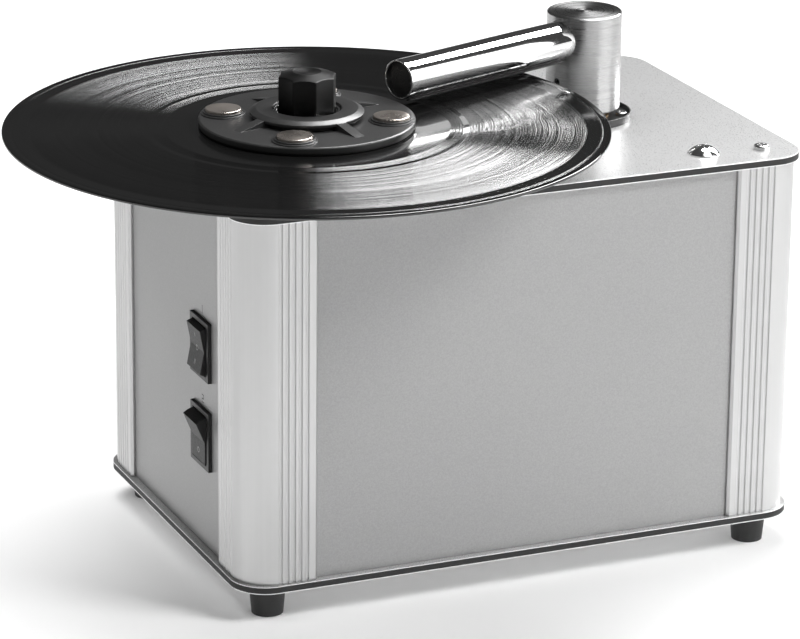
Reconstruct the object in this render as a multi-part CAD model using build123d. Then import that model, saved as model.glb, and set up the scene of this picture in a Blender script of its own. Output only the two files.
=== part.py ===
"""Vacuum record cleaning machine: an aluminium-framed box with a platter, a clamp and a suction arm.

Millimetres. +X runs to the right along the long front side, +Y to the rear and +Z up. The origin is on
the floor, under the middle of the base plate. Every piece is a solid of its own, in its own node.
"""
import os
from math import degrees

from build123d import *

# ---------------------------------------------------------------- driving dimensions
# Housing
PLATE_L = 312.4
PLATE_W = 212.0
PLATE_R = 19.0
PLATE_T = 4.0
FOOT_H = 16.5
WALL_H = 190.0
PLATE_OVERHANG = 1.64
CORNER_SCREW_IN_X = 19.8
CORNER_SCREW_IN_Y = 18.3

# Corner posts (extrusions)
POST_LEG = 39.1
POST_R = 19.4
POST_SKIN = 3.2
POST_BEVEL = 1.3
FLANGE_LEN = 9.0
PANEL_T = 2.0
PANEL_RECESS = 2.5
SLOT_CLEAR = 0.1
SLOT_DEPTH = 7.0
SLOT_END_GAP = 0.5
SLOT_LIP_IN = 1.6
GROOVE_COUNT = 5
GROOVE_FIRST = 5.82
GROOVE_PITCH = 3.53
GROOVE_MOUTH = 1.9
GROOVE_W = 0.9
GROOVE_D = 0.75
BOSS_R = 4.2
WEB_T = 2.6

# Screws
TAP_CLEAR = 0.05
HOLE_CLEAR = 0.6
M4_R = 1.6
FOOT_R_LOW = 8.1
FOOT_R_TOP = 9.6
FOOT_BORE_R = 4.7
FOOT_BORE_D = 8.0
FOOT_HEAD_R = 4.2
FOOT_HEAD_H = 3.0
FOOT_SCREW_BITE = 12.0
PAN_ROUND = 0.45
M4_HEAD_R = 4.0
M4_HEAD_H = 2.6
M4_LEN = 16.0
M3_R = 1.3
M3_HEAD_R = 3.0
M3_HEAD_H = 1.8
M3_LEN = 12.0
SCREW_ROOM = 1.0

# Record support and its drive
DISC_FROM_SCREW_X = 30.2
DISC_FROM_SCREW_Y = 22.8
RECORD_LIFT = 30.0
RECORD_R = 150.8
RECORD_T = 1.85
RECORD_HOLE_R = 3.62
RECORD_EDGE = 0.8
MAT_R = 50.0
MAT_T = 1.0
PLATTER_R = 52.0
PLATTER_T = 5.0
HUB_R = 11.0
HUB_GAP = 4.5
SHAFT_R = 4.0
SHAFT_FIT = 0.03
SHAFT_BITE = 17.0
SPINDLE_R = 3.5
SPINDLE_UP = 7.6
SPINDLE_CHAMFER = 1.2
GEARBOX_R = 25.0
GEARBOX_H = 25.0
CAN_R = 18.5
CAN_H = 50.0
CAN_CAP_R = 8.0
CAN_CAP_H = 3.5
SHAFT_WINDOW_R = 7.5
BEARING_BOSS_R = 7.0
MOTOR_SCREW_RING = 18.0
GEARBOX_END = 3.0
MAGNET_RING = 42.0
PLATTER_MAGNET_R = 6.0
PLATTER_MAGNET_H = 3.0

# Clamp, heights over the record
CLAMP_R = 53.9
SEAL_T = 1.2
SEAL_W = 4.0
SEAL_IN = 0.6
CLAMP_TOP = 4.5
CLAMP_EDGE = 0.7
RING_R = 28.4
RING_NECK_R = 25.6
RING_UNDER = 6.6
RING_EDGE = 8.0
RING_TOP = 9.6
RING_BEVEL = 3.0
RING_HOLE_R = 17.2
RECESS_FLOOR = 3.4
CLAMP_BOSS_R = 11.5
CLAMP_BOSS_STEP = 5.2
CLAMP_SEAT_R = 10.2
CLAMP_SEAT_TOP = 6.1
CLAMP_MAGNET_R = 9.0
CLAMP_MAGNET_TOP = 7.4
CLAMP_MAGNET_SINK = 2.0
MAGNET_FIRST = 60.0
RIB_W = 5.6
RIB_END_R = 43.0
BUSH_R = 8.0
BUSH_FLANGE_R = 16.4
BUSH_FLANGE_T = 1.6
BUSH_TOP = 9.0
BUSH_FIT = 0.1
STUD_R = 2.5
STUD_H = 11.0
KNOB_R = 14.84
KNOB_SIDES = 8
KNOB_TOP = 28.0
KNOB_FALL = 2.1
KNOB_DISH_R = 7.0
KNOB_DISH_D = 0.7
KNOB_FLUTE_R = 30.0
KNOB_FLUTE_D = 0.5

# Suction arm
POST_X = 76.0
POST_Y = 0.0
ARM_POST_R = 19.63
ARM_POST_GAP = 6.25
ARM_POST_H = 51.65
ARM_POST_CHAMFER = 0.6
ARM_TURN = 200.31
TUBE_R = 10.21
TUBE_WALL = 1.0
TUBE_OVER_RECORD = 2.75
TUBE_CLAMP_GAP = 5.91
TUBE_SEAT = 10.0
TUBE_FIT = 0.05
SLIT_W = 4.0
SLIT_START = 49.0
SLIT_END_IN = 4.6
PLUG_T = 2.2
PLUG_IN = 2.0
PAD_T = 1.6
PAD_START = 22.0
PAD_END_IN = 2.2
PAD_INNER_DEG = 13.0
PAD_OUTER_DEG = 40.0
SLEEVE_R = 10.0
SLEEVE_WALL = 2.5
SLEEVE_FIT = 0.06
SLEEVE_TOP_GAP = 3.6
POST_STEP = 25.3
AIRWAY_R = 7.0
SPRING_POCKET_R = 13.4
SPRING_POCKET_H = 8.5
SPRING_R = 11.9
SPRING_WIRE_R = 0.6
SPRING_TURNS = 5
WASHER_R = 14.0
WASHER_T = 1.0
SET_SCREW_Z = 16.3
SET_SCREW_R = 2.0
SET_SCREW_IN = 0.6
SOCKET_R = 1.1
SOCKET_D = 1.6
DOG_R = 1.0
DOG_CLEAR = 0.35
GROOVE_IN_SLEEVE = 1.3
ARM_DOWN = 0.8
ARM_UP = 3.0
SWING_BACK = 120.0
SWING_FRONT = 60.0
FLANGE_R = 25.58
FLANGE_H = 4.0
FLANGE_LIP = 0.8
FLANGE_FLOOR = 1.4
FLANGE_SCREW_RING = 20.6
FLANGE_SCREW_FIRST = -25.0
SEAL_RING_R = 0.9
SEAL_RING_Z = 10.6

# Switches on the left side
SWITCH_IN = 66.36
SWITCH_Z_UP = 127.7
SWITCH_Z_LOW = 79.8
BEZEL_W = 25.8
BEZEL_H = 31.5
BEZEL_T = 2.0
SWITCH_BODY_W = 22.0
SWITCH_BODY_H = 28.8
SWITCH_BODY_D = 22.0
SWITCH_CUT_GAP = 0.2
CAVITY_D = 14.0
ROCKER_W = 19.0
ROCKER_R = 13.0
ROCKER_GAP = 0.4
ROCKER_PIVOT_IN = 3.0
ROCKER_SUNK = 2.5
ROCKER_MID = 0.8
ROCKER_END = 3.0
ROCKER_TILT = 12.0
TRUNNION_R = 1.2
TRUNNION_FIT = 0.08
TRUNNION_LEN = 0.9
BLADE_W = 6.3
BLADE_T = 0.8
BLADE_LEN = 8.0
BLADE_PITCH = 8.0

# Waste tank
TANK_L = 100.0
TANK_W = 130.0
TANK_H = 150.0
TANK_WALL = 3.0
TANK_R = 2.0
TANK_BOSS_IN = 8.0
TANK_BOSS_R = 5.6
TANK_BOSS_H = 22.0
GASKET_T = 1.5
GASKET_W = 7.0
LID_T = 4.0
LID_OVERHANG = 2.0
SLEEVE_IN_TANK = 34.0
SLEEVE_COLLAR_R = 14.0
SLEEVE_COLLAR_H = 3.0
DRAIN_Z = 32.0
DRAIN_PIPE_R = 6.5
DRAIN_R = 5.5
DRAIN_BORE_R = 4.0
DRAIN_OUT = 12.0
DRAIN_PLUG_FIT = 0.06
DRAIN_PLUG_LEN = 10.0
DRAIN_HEAD_R = 5.2
DRAIN_HEAD_H = 4.0
STRAP_HEAD_GAP = 0.5
STRAP_SCREW_Y = 84.0
STRAP_W = 19.0
STRAP_T = 3.0
STRAP_SIDE_GAP = 3.0
STRAP_FOOT = 24.0
STRAP_NUT_R = 5.5
STRAP_NUT_H = 6.0
DOME_R = 8.2
DOME_H = 4.0
DOME_RIM = 0.6
DOME_CROSS_D = 2.4
M6_R = 2.9

# Vacuum motor and hose
FAN_BOARD_GAP = 5.0
FAN_Y = 35.0
CUP_FOOT_R = 52.0
CUP_FLOOR = 4.0
CUP_WALL = 3.0
CUP_GAP = 0.4
CUP_H = 24.0
CUP_SCREW_RING = 47.5
VAC_MOTOR_R = 39.0
VAC_MOTOR_END_R = 36.0
VAC_MOTOR_END_H = 4.0
VAC_MOTOR_H = 45.5
FAN_R = 52.0
FAN_H = 40.0
FAN_WALL = 2.0
FAN_PORTS = 8
FAN_PORT_W = 12.0
FAN_PORT_H = 12.0
IMPELLER_R = 44.0
IMPELLER_DISC = 2.0
IMPELLER_GAP = 5.0
VANE_H = 14.0
VANE_T = 2.0
VANE_COUNT = 8
VANE_IN_R = 12.0
IMPELLER_HUB_R = 9.0
FAN_SHAFT_BITE = 10.0
PIPE_R = 11.0
PIPE_WALL = 2.0
PIPE_LEN = 14.0
HOSE_WALL = 2.0
HOSE_FIT = 0.1
HOSE_BEND_R = 28.0
HOSE_Z = 152.0

# Electrical parts
INLET_POST_GAP = 6.46
INLET_Z = 50.0
INLET_FLANGE_L = 50.0
INLET_FLANGE_H = 23.0
INLET_BODY_L = 27.4
INLET_BODY_H = 20.0
INLET_BODY_D = 22.0
INLET_HOLE_L = 24.6
INLET_HOLE_H = 16.6
INLET_HOLE_D = 17.0
INLET_CUT_GAP = 0.3
INLET_SCREW_PITCH = 40.0
PIN_W = 4.0
PIN_T = 2.0
PIN_LEN = 11.0
PIN_PITCH = 7.0
BOARD_PANEL_GAP = 4.06
BOARD_Y = 27.0
BOARD_L = 44.0
BOARD_W = 70.0
BOARD_T = 1.6
STANDOFF_R = 3.0
STANDOFF_H = 6.0
STANDOFF_IN = 4.0
CAP_R = 11.0
CAP_H = 42.0
CAP_Y = 18.0
VENT_X = -10.0
VENT_Z = 110.0
VENT_COUNT = 12
VENT_PITCH = 8.0
VENT_W = 3.6
VENT_H = 46.0

# ---------------------------------------------------------------- derived places
Z_BASE = FOOT_H
Z_FLOOR = Z_BASE + PLATE_T
Z_DECK = Z_FLOOR + WALL_H
Z_TOP = Z_DECK + PLATE_T
FACE_X = PLATE_L / 2 - PLATE_OVERHANG
FACE_Y = PLATE_W / 2 - PLATE_OVERHANG
PANEL_X = FACE_X - PANEL_RECESS
PANEL_Y = FACE_Y - PANEL_RECESS
SCREW_X = PLATE_L / 2 - CORNER_SCREW_IN_X
SCREW_Y = PLATE_W / 2 - CORNER_SCREW_IN_Y
SWITCH_Y = SWITCH_IN - FACE_Y
DISC_X = DISC_FROM_SCREW_X - SCREW_X
DISC_Y = DISC_FROM_SCREW_Y - SCREW_Y
TUBE_END = Vector(DISC_X - POST_X, DISC_Y - POST_Y, 0).length - CLAMP_R - TUBE_CLAMP_GAP
STRAP_X = POST_X + TANK_L / 2 - TANK_BOSS_IN - M3_HEAD_R - STRAP_HEAD_GAP - STRAP_W / 2
INLET_X = POST_LEG - FACE_X + INLET_POST_GAP + INLET_FLANGE_L / 2
BOARD_X = PANEL_T - PANEL_X + BOARD_PANEL_GAP + BOARD_L / 2
FAN_X = BOARD_X + BOARD_L / 2 + FAN_BOARD_GAP + CUP_FOOT_R
Z_RECORD = Z_TOP + RECORD_LIFT
Z_PLAY = Z_RECORD + RECORD_T
Z_MAT = Z_RECORD - MAT_T
Z_PLATTER = Z_MAT - PLATTER_T
Z_POST = Z_TOP + ARM_POST_GAP
Z_TUBE = Z_PLAY + TUBE_OVER_RECORD + TUBE_R
Z_WELL = Z_TOP + FLANGE_FLOOR
Z_TANK_TOP = Z_FLOOR + TANK_H
Z_LID = Z_TANK_TOP + GASKET_T
Z_LID_TOP = Z_LID + LID_T
Z_SLEEVE_TOP = Z_POST + POST_STEP - SLEEVE_TOP_GAP
Z_MOTOR = Z_FLOOR + CUP_FLOOR
Z_FAN = Z_MOTOR + VAC_MOTOR_H
Z_FAN_TOP = Z_FAN + FAN_H
Z_BOARD = Z_FLOOR + STANDOFF_H
DRAIN_TIP_Y = FACE_Y + DRAIN_OUT
SIGNS = [(-1, -1), (1, -1), (-1, 1), (1, 1)]
LOW = (Align.CENTER, Align.CENTER, Align.MIN)


# ---------------------------------------------------------------- helpers
def rod(radius, z0, z1, x=0.0, y=0.0):
    """Upright cylinder from z0 to z1."""
    return Pos(x, y, z0) * Cylinder(radius, z1 - z0, align=LOW)


def ring(outer, inner, z0, z1, x=0.0, y=0.0):
    """Upright tube from z0 to z1."""
    return rod(outer, z0, z1, x, y) - rod(inner, z0, z1, x, y)


def block(x0, x1, y0, y1, z0, z1):
    """Box between two corners."""
    middle = Pos((x0 + x1) / 2, (y0 + y1) / 2, (z0 + z1) / 2)
    return middle * Box(x1 - x0, y1 - y0, z1 - z0)


def rod_x(radius, x0, x1, y, z):
    """Cylinder along X."""
    return Pos(x0, y, z) * Rot(0, 90, 0) * Cylinder(radius, x1 - x0, align=LOW)


def rod_y(radius, y0, y1, x, z):
    """Cylinder along Y."""
    return Pos(x, y0, z) * Rot(-90, 0, 0) * Cylinder(radius, y1 - y0, align=LOW)


def around(count, radius, first=0.0):
    """Points on a circle, as (x, y) pairs."""
    step = 360 / count
    points = [Vector(radius, 0, 0).rotate(Axis.Z, first + step * i) for i in range(count)]
    return [(p.X, p.Y) for p in points]


def slab(length, width, radius, z0, z1, x=0.0, y=0.0):
    """Rounded rectangular plate from z0 to z1."""
    return Pos(x, y, z0) * extrude(RectangleRounded(length, width, radius), z1 - z0)


def cross_recess(size, depth, top, x, y):
    """Cross cut into a screw head."""
    width = size / 4
    one = block(x - size / 2, x + size / 2, y - width / 2, y + width / 2, top - depth, top + depth)
    two = block(x - width / 2, x + width / 2, y - size / 2, y + size / 2, top - depth, top + depth)
    return one + two


def pan_screw(head_r, head_h, shank_r, length):
    """Pan head screw, pointing down, with its head on z = 0."""
    head = rod(head_r, 0, head_h)
    head = fillet(head.edges().group_by(Axis.Z)[-1], head_h * PAN_ROUND)
    head -= cross_recess(head_r, head_h * PAN_ROUND, head_h, 0, 0)
    return head + rod(shank_r, -length, 0)


def m4_screw():
    """The M4 screw of the corners, the gearmotor and the motor cup."""
    return pan_screw(M4_HEAD_R, M4_HEAD_H, M4_R, M4_LEN)


def m3_screw():
    """The M3 screw of the arm flange, the tank lid and the mains inlet."""
    return pan_screw(M3_HEAD_R, M3_HEAD_H, M3_R, M3_LEN)


def save(name, *pieces):
    """Write one node, holding one solid or a group of like solids."""
    shape = pieces[0] if len(pieces) == 1 else Compound([s for p in pieces for s in p.solids()])
    export_step(shape, f"parts/{name}.step")


# ---------------------------------------------------------------- housing
def shell_band(outer, inner):
    """Band of the housing's outline between two depths under its outer faces."""
    big = RectangleRounded(2 * (FACE_X - outer), 2 * (FACE_Y - outer), POST_R - outer)
    return big - RectangleRounded(2 * (FACE_X - inner), 2 * (FACE_Y - inner), POST_R - inner)


def leg_end(depth):
    """The last stretch of both legs of the front right post, mirrored to the rear right."""
    edge_x = FACE_X - POST_LEG
    edge_y = FACE_Y - POST_LEG
    along_x = Pos(edge_x + depth / 2, FACE_Y - POST_LEG / 4) * Rectangle(depth, POST_LEG / 2)
    along_y = Pos(FACE_X - POST_LEG / 4, edge_y + depth / 2) * Rectangle(POST_LEG / 2, depth)
    return along_x + along_y


def corner_post_outline():
    """Section of the post in the +X, +Y corner."""
    corner = Pos(FACE_X - POST_LEG / 2, FACE_Y - POST_LEG / 2) * Rectangle(POST_LEG, POST_LEG)
    slot_front = PANEL_RECESS - SLOT_CLEAR
    slot_back = PANEL_RECESS + PANEL_T + SLOT_CLEAR
    outline = shell_band(0, POST_SKIN) & corner
    outline += shell_band(0, slot_back + SLOT_LIP_IN) & leg_end(FLANGE_LEN)
    outline -= shell_band(slot_front, slot_back) & leg_end(SLOT_DEPTH)
    reach = PLATE_R
    web = Pos(SCREW_X, SCREW_Y) * Rot(0, 0, 45) * Pos(reach / 2, 0) * Rectangle(reach, WEB_T)
    outline += web & (RectangleRounded(2 * FACE_X, 2 * FACE_Y, POST_R) & corner)
    outline += Pos(SCREW_X, SCREW_Y) * Circle(BOSS_R)
    outline -= Pos(SCREW_X, SCREW_Y) * Circle(M4_R + TAP_CLEAR)
    half_mouth, half_floor = GROOVE_MOUTH / 2, GROOVE_W / 2
    points = [(-half_mouth, 0), (-half_floor, -GROOVE_D), (half_floor, -GROOVE_D), (half_mouth, 0)]
    groove = Polygon(*points, (half_mouth, GROOVE_D), (-half_mouth, GROOVE_D), align=None)
    for i in range(GROOVE_COUNT):
        along = GROOVE_FIRST + GROOVE_PITCH * i
        outline -= Pos(FACE_X - POST_LEG + along, FACE_Y) * groove
        outline -= Pos(FACE_X, FACE_Y - POST_LEG + along) * Rot(0, 0, -90) * groove
    bevel = POST_BEVEL * 2 ** 0.5
    outline -= Pos(FACE_X - POST_LEG, FACE_Y) * Rot(0, 0, 45) * Rectangle(bevel, bevel)
    outline -= Pos(FACE_X, FACE_Y - POST_LEG) * Rot(0, 0, 45) * Rectangle(bevel, bevel)
    return outline


def corner_posts():
    """Four posts: one extrusion, mirrored into each corner."""
    post = Pos(0, 0, Z_FLOOR) * extrude(corner_post_outline(), WALL_H)
    left = mirror(post, Plane.YZ)
    save("post_rear_right", post)
    save("post_rear_left", left)
    save("post_front_right", mirror(post, Plane.XZ))
    save("post_front_left", mirror(left, Plane.XZ))


def plates():
    """Base plate and top plate."""
    base = slab(PLATE_L, PLATE_W, PLATE_R, Z_BASE, Z_FLOOR)
    top = slab(PLATE_L, PLATE_W, PLATE_R, Z_DECK, Z_TOP)
    for sx, sy in SIGNS:
        base -= rod(M4_R + HOLE_CLEAR, Z_BASE, Z_FLOOR, sx * SCREW_X, sy * SCREW_Y)
        top -= rod(M4_R + HOLE_CLEAR, Z_DECK, Z_TOP, sx * SCREW_X, sy * SCREW_Y)
    for x, y in around(3, CUP_SCREW_RING, 90):
        base -= rod(M4_R + TAP_CLEAR, Z_BASE, Z_FLOOR, FAN_X + x, FAN_Y + y)
    for x, y in around(4, MOTOR_SCREW_RING, 45):
        top -= rod(M4_R + TAP_CLEAR, Z_DECK, Z_TOP, DISC_X + x, DISC_Y + y)
    for x, y in around(3, FLANGE_SCREW_RING, FLANGE_SCREW_FIRST):
        top -= rod(M3_R + TAP_CLEAR, Z_DECK, Z_TOP, POST_X + x, POST_Y + y)
    for side in (-1, 1):
        top -= rod(M6_R + HOLE_CLEAR, Z_DECK, Z_TOP, STRAP_X, side * STRAP_SCREW_Y)
    top -= rod(SHAFT_WINDOW_R, Z_DECK, Z_TOP, DISC_X, DISC_Y)
    top -= rod(SLEEVE_R + HOLE_CLEAR, Z_DECK, Z_TOP, POST_X, POST_Y)
    save("base_plate", base)
    save("top_plate", top)


def panels():
    """Four wall panels held in the posts' slots."""
    half_x = FACE_X - POST_LEG + SLOT_DEPTH - SLOT_END_GAP
    half_y = FACE_Y - POST_LEG + SLOT_DEPTH - SLOT_END_GAP
    front = block(-half_x, half_x, -PANEL_Y, -PANEL_Y + PANEL_T, Z_FLOOR, Z_DECK)
    rear = block(-half_x, half_x, PANEL_Y - PANEL_T, PANEL_Y, Z_FLOOR, Z_DECK)
    left = block(-PANEL_X, -PANEL_X + PANEL_T, -half_y, half_y, Z_FLOOR, Z_DECK)
    right = block(PANEL_X - PANEL_T, PANEL_X, -half_y, half_y, Z_FLOOR, Z_DECK)
    cut_w = SWITCH_BODY_W / 2 + SWITCH_CUT_GAP
    cut_h = SWITCH_BODY_H / 2 + SWITCH_CUT_GAP
    for z in (SWITCH_Z_UP, SWITCH_Z_LOW):
        y0, y1 = SWITCH_Y - cut_w, SWITCH_Y + cut_w
        left -= block(-FACE_X, -PANEL_X + PANEL_T, y0, y1, z - cut_h, z + cut_h)
    hole_l = INLET_BODY_L / 2 + INLET_CUT_GAP
    hole_h = INLET_BODY_H / 2 + INLET_CUT_GAP
    y0, y1 = PANEL_Y - PANEL_T, FACE_Y
    rear -= block(INLET_X - hole_l, INLET_X + hole_l, y0, y1, INLET_Z - hole_h, INLET_Z + hole_h)
    for side in (-1, 1):
        x = INLET_X + side * INLET_SCREW_PITCH / 2
        rear -= rod_y(M3_R + TAP_CLEAR, y0, y1, x, INLET_Z)
    rear -= rod_y(DRAIN_PIPE_R + HOLE_CLEAR, y0, y1, POST_X, DRAIN_Z)
    for i in range(VENT_COUNT):
        x = VENT_X + VENT_PITCH * (i - (VENT_COUNT - 1) / 2)
        slot = extrude(SlotOverall(VENT_H, VENT_W, rotation=90), 2 * PANEL_T, both=True)
        rear -= Pos(x, PANEL_Y, VENT_Z) * Rot(90, 0, 0) * slot
    save("front_panel", front)
    save("rear_panel", rear)
    save("left_panel", left)
    save("right_panel", right)


def feet():
    """Four rubber feet and the screws that hold them to the posts."""
    names = ["foot_front_left", "foot_front_right", "foot_rear_left", "foot_rear_right"]
    screws = []
    for name, (sx, sy) in zip(names, SIGNS):
        x, y = sx * SCREW_X, sy * SCREW_Y
        foot = Pos(x, y, 0) * Cone(FOOT_R_LOW, FOOT_R_TOP, FOOT_H, align=LOW)
        foot -= rod(FOOT_BORE_R, 0, FOOT_BORE_D, x, y)
        foot -= rod(M4_R + TAP_CLEAR, FOOT_BORE_D, FOOT_H, x, y)
        save(name, foot)
        screw = rod(FOOT_HEAD_R, FOOT_BORE_D - FOOT_HEAD_H, FOOT_BORE_D, x, y)
        screws.append(screw + rod(M4_R, FOOT_BORE_D, Z_FLOOR + FOOT_SCREW_BITE, x, y))
    save("foot_screws", *screws)


def m4_screws():
    """Screws of the deck's corners, the gearmotor and, from below, the motor cup."""
    spots = [(sx * SCREW_X, sy * SCREW_Y) for sx, sy in SIGNS]
    spots += [(DISC_X + x, DISC_Y + y) for x, y in around(4, MOTOR_SCREW_RING, 45)]
    screws = [Pos(x, y, Z_TOP) * m4_screw() for x, y in spots]
    for x, y in around(3, CUP_SCREW_RING, 90):
        screws.append(Pos(FAN_X + x, FAN_Y + y, Z_BASE) * Rot(180, 0, 0) * m4_screw())
    save("m4_screws", *screws)


def m3_screws():
    """Screws of the arm flange, the tank lid and the mains inlet."""
    spots = around(3, FLANGE_SCREW_RING, FLANGE_SCREW_FIRST)
    screws = [Pos(POST_X + x, POST_Y + y, Z_WELL) * m3_screw() for x, y in spots]
    screws += [Pos(x, y, Z_LID_TOP) * m3_screw() for x, y in tank_corners()]
    for side in (-1, 1):
        x = INLET_X + side * INLET_SCREW_PITCH / 2
        screws.append(Pos(x, FACE_Y, INLET_Z) * Rot(-90, 0, 0) * m3_screw())
    save("m3_screws", *screws)


# ---------------------------------------------------------------- record support and drive
def gearmotor():
    """Gearbox under the deck and its motor can."""
    z0 = Z_DECK - GEARBOX_H
    box = rod(GEARBOX_R, z0, Z_DECK, DISC_X, DISC_Y)
    box += rod(BEARING_BOSS_R, Z_DECK, Z_TOP, DISC_X, DISC_Y)
    box -= rod(SHAFT_R + SHAFT_FIT, z0 + GEARBOX_END, Z_TOP, DISC_X, DISC_Y)
    for x, y in around(4, MOTOR_SCREW_RING, 45):
        box -= rod(M4_R + TAP_CLEAR, Z_TOP - M4_LEN - SCREW_ROOM, Z_DECK, DISC_X + x, DISC_Y + y)
    can = rod(CAN_R, z0 - CAN_H, z0, DISC_X, DISC_Y)
    can += rod(CAN_CAP_R, z0 - CAN_H - CAN_CAP_H, z0 - CAN_H, DISC_X, DISC_Y)
    save("gearbox", box)
    save("gearmotor_can", can)


def platter():
    """Output shaft, platter with hub and magnets, mat and spindle."""
    z_hub = Z_TOP + HUB_GAP
    z_shaft_top = z_hub + SHAFT_BITE
    disc = rod(PLATTER_R, Z_PLATTER, Z_MAT, DISC_X, DISC_Y) + rod(HUB_R, z_hub, Z_PLATTER, DISC_X, DISC_Y)
    disc -= rod(SHAFT_R + SHAFT_FIT, z_hub, z_shaft_top, DISC_X, DISC_Y)
    disc -= rod(SPINDLE_R, z_shaft_top, Z_MAT, DISC_X, DISC_Y)
    magnets = []
    for dx, dy in around(4, MAGNET_RING, MAGNET_FIRST):
        x, y = DISC_X + dx, DISC_Y + dy
        disc -= rod(PLATTER_MAGNET_R + TAP_CLEAR, Z_MAT - PLATTER_MAGNET_H, Z_MAT, x, y)
        magnets.append(rod(PLATTER_MAGNET_R, Z_MAT - PLATTER_MAGNET_H, Z_MAT, x, y))
    shaft_foot = Z_DECK - GEARBOX_H + GEARBOX_END
    spindle = rod(SPINDLE_R, z_shaft_top, Z_PLAY + SPINDLE_UP, DISC_X, DISC_Y)
    spindle = chamfer(spindle.edges().group_by(Axis.Z)[-1], SPINDLE_CHAMFER)
    save("output_shaft", rod(SHAFT_R, shaft_foot, z_shaft_top, DISC_X, DISC_Y))
    save("platter", disc)
    save("platter_magnets", *magnets)
    save("platter_mat", ring(MAT_R, RECORD_HOLE_R, Z_MAT, Z_RECORD, DISC_X, DISC_Y))
    save("spindle", spindle)


def record():
    """Twelve inch record with a rounded rim."""
    disc = rod(RECORD_R, Z_RECORD, Z_PLAY, DISC_X, DISC_Y)
    disc = fillet(disc.edges(), RECORD_EDGE)
    save("record", disc - rod(RECORD_HOLE_R, Z_RECORD, Z_PLAY, DISC_X, DISC_Y))


# ---------------------------------------------------------------- clamp
def clamp_disc():
    """Moulded disc with a bevelled ring on a neck, four magnet bosses and four wedge ribs."""
    at = Pos(DISC_X, DISC_Y, Z_PLAY)
    disc = rod(CLAMP_R, SEAL_T, CLAMP_TOP)
    disc = chamfer(disc.edges().group_by(Axis.Z)[-1], CLAMP_EDGE)
    spots = around(4, MAGNET_RING, MAGNET_FIRST)
    for x, y in spots:
        disc += rod(CLAMP_BOSS_R, SEAL_T, CLAMP_BOSS_STEP, x, y) & rod(CLAMP_R - CLAMP_EDGE, 0, RING_TOP)
        disc += rod(CLAMP_SEAT_R, CLAMP_TOP, CLAMP_SEAT_TOP, x, y)
    disc += rod(RING_NECK_R, CLAMP_TOP, RING_UNDER)
    disc += rod(RING_R, RING_UNDER, RING_EDGE)
    bevel = Cone(RING_R, RING_R - RING_BEVEL, RING_TOP - RING_EDGE, align=LOW)
    disc += Pos(0, 0, RING_EDGE) * bevel
    wedge = [(RING_NECK_R - 1, CLAMP_TOP), (RIB_END_R, CLAMP_TOP), (RING_R - 1, RING_EDGE)]
    wedge.append((RING_NECK_R - 1, RING_EDGE))
    rib = extrude(Plane.XZ * Polygon(*wedge, align=None), RIB_W / 2, both=True)
    for i in range(4):
        disc += Rot(0, 0, MAGNET_FIRST + 45 + 90 * i) * rib
    disc -= rod(RING_HOLE_R, RECESS_FLOOR, RING_TOP)
    disc -= rod(BUSH_R + TAP_CLEAR, 0, RECESS_FLOOR)
    for x, y in spots:
        disc -= rod(CLAMP_MAGNET_R + TAP_CLEAR, CLAMP_SEAT_TOP - CLAMP_MAGNET_SINK, CLAMP_SEAT_TOP, x, y)
    save("clamp_disc", at * disc)


def clamp_fittings():
    """Seal, magnets and flanged bush of the clamp."""
    at = Pos(DISC_X, DISC_Y, Z_PLAY)
    seal = ring(CLAMP_R - SEAL_IN, CLAMP_R - SEAL_IN - SEAL_W, 0, SEAL_T)
    sink = CLAMP_SEAT_TOP - CLAMP_MAGNET_SINK
    spots = around(4, MAGNET_RING, MAGNET_FIRST)
    magnets = [at * rod(CLAMP_MAGNET_R, sink, CLAMP_MAGNET_TOP, x, y) for x, y in spots]
    bush = rod(BUSH_R, SEAL_T, BUSH_TOP) + rod(STUD_R, BUSH_TOP, BUSH_TOP + STUD_H)
    bush += rod(BUSH_FLANGE_R, RECESS_FLOOR, RECESS_FLOOR + BUSH_FLANGE_T)
    bush -= rod(SPINDLE_R + BUSH_FIT, SEAL_T, SPINDLE_UP + BUSH_FIT)
    save("clamp_seal", at * seal)
    save("clamp_magnets", *magnets)
    save("clamp_bush", at * bush)


def clamp_knob():
    """Eight-sided knob with hollow flutes, whose top is a shallow cone round a dish."""
    foot = RECESS_FLOOR + BUSH_FLANGE_T
    outline = Rot(0, 0, 180 / KNOB_SIDES) * RegularPolygon(KNOB_R, KNOB_SIDES)
    flat = outline.edges()[0].center().length
    for x, y in around(KNOB_SIDES, flat + KNOB_FLUTE_R - KNOB_FLUTE_D):
        outline -= Pos(x, y) * Circle(KNOB_FLUTE_R)
    brim = KNOB_TOP - KNOB_FALL
    turned = rod(KNOB_R, foot, brim) + Pos(0, 0, brim) * Cone(KNOB_R, KNOB_DISH_R, KNOB_FALL, align=LOW)
    knob = turned & (Pos(0, 0, foot) * extrude(outline, KNOB_TOP - foot))
    knob -= rod(KNOB_DISH_R, KNOB_TOP - KNOB_DISH_D, KNOB_TOP)
    knob -= rod(BUSH_R + TAP_CLEAR, foot, BUSH_TOP)
    knob -= rod(STUD_R + TAP_CLEAR, BUSH_TOP, BUSH_TOP + STUD_H)
    save("clamp_knob", Pos(DISC_X, DISC_Y, Z_PLAY) * knob)


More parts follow.
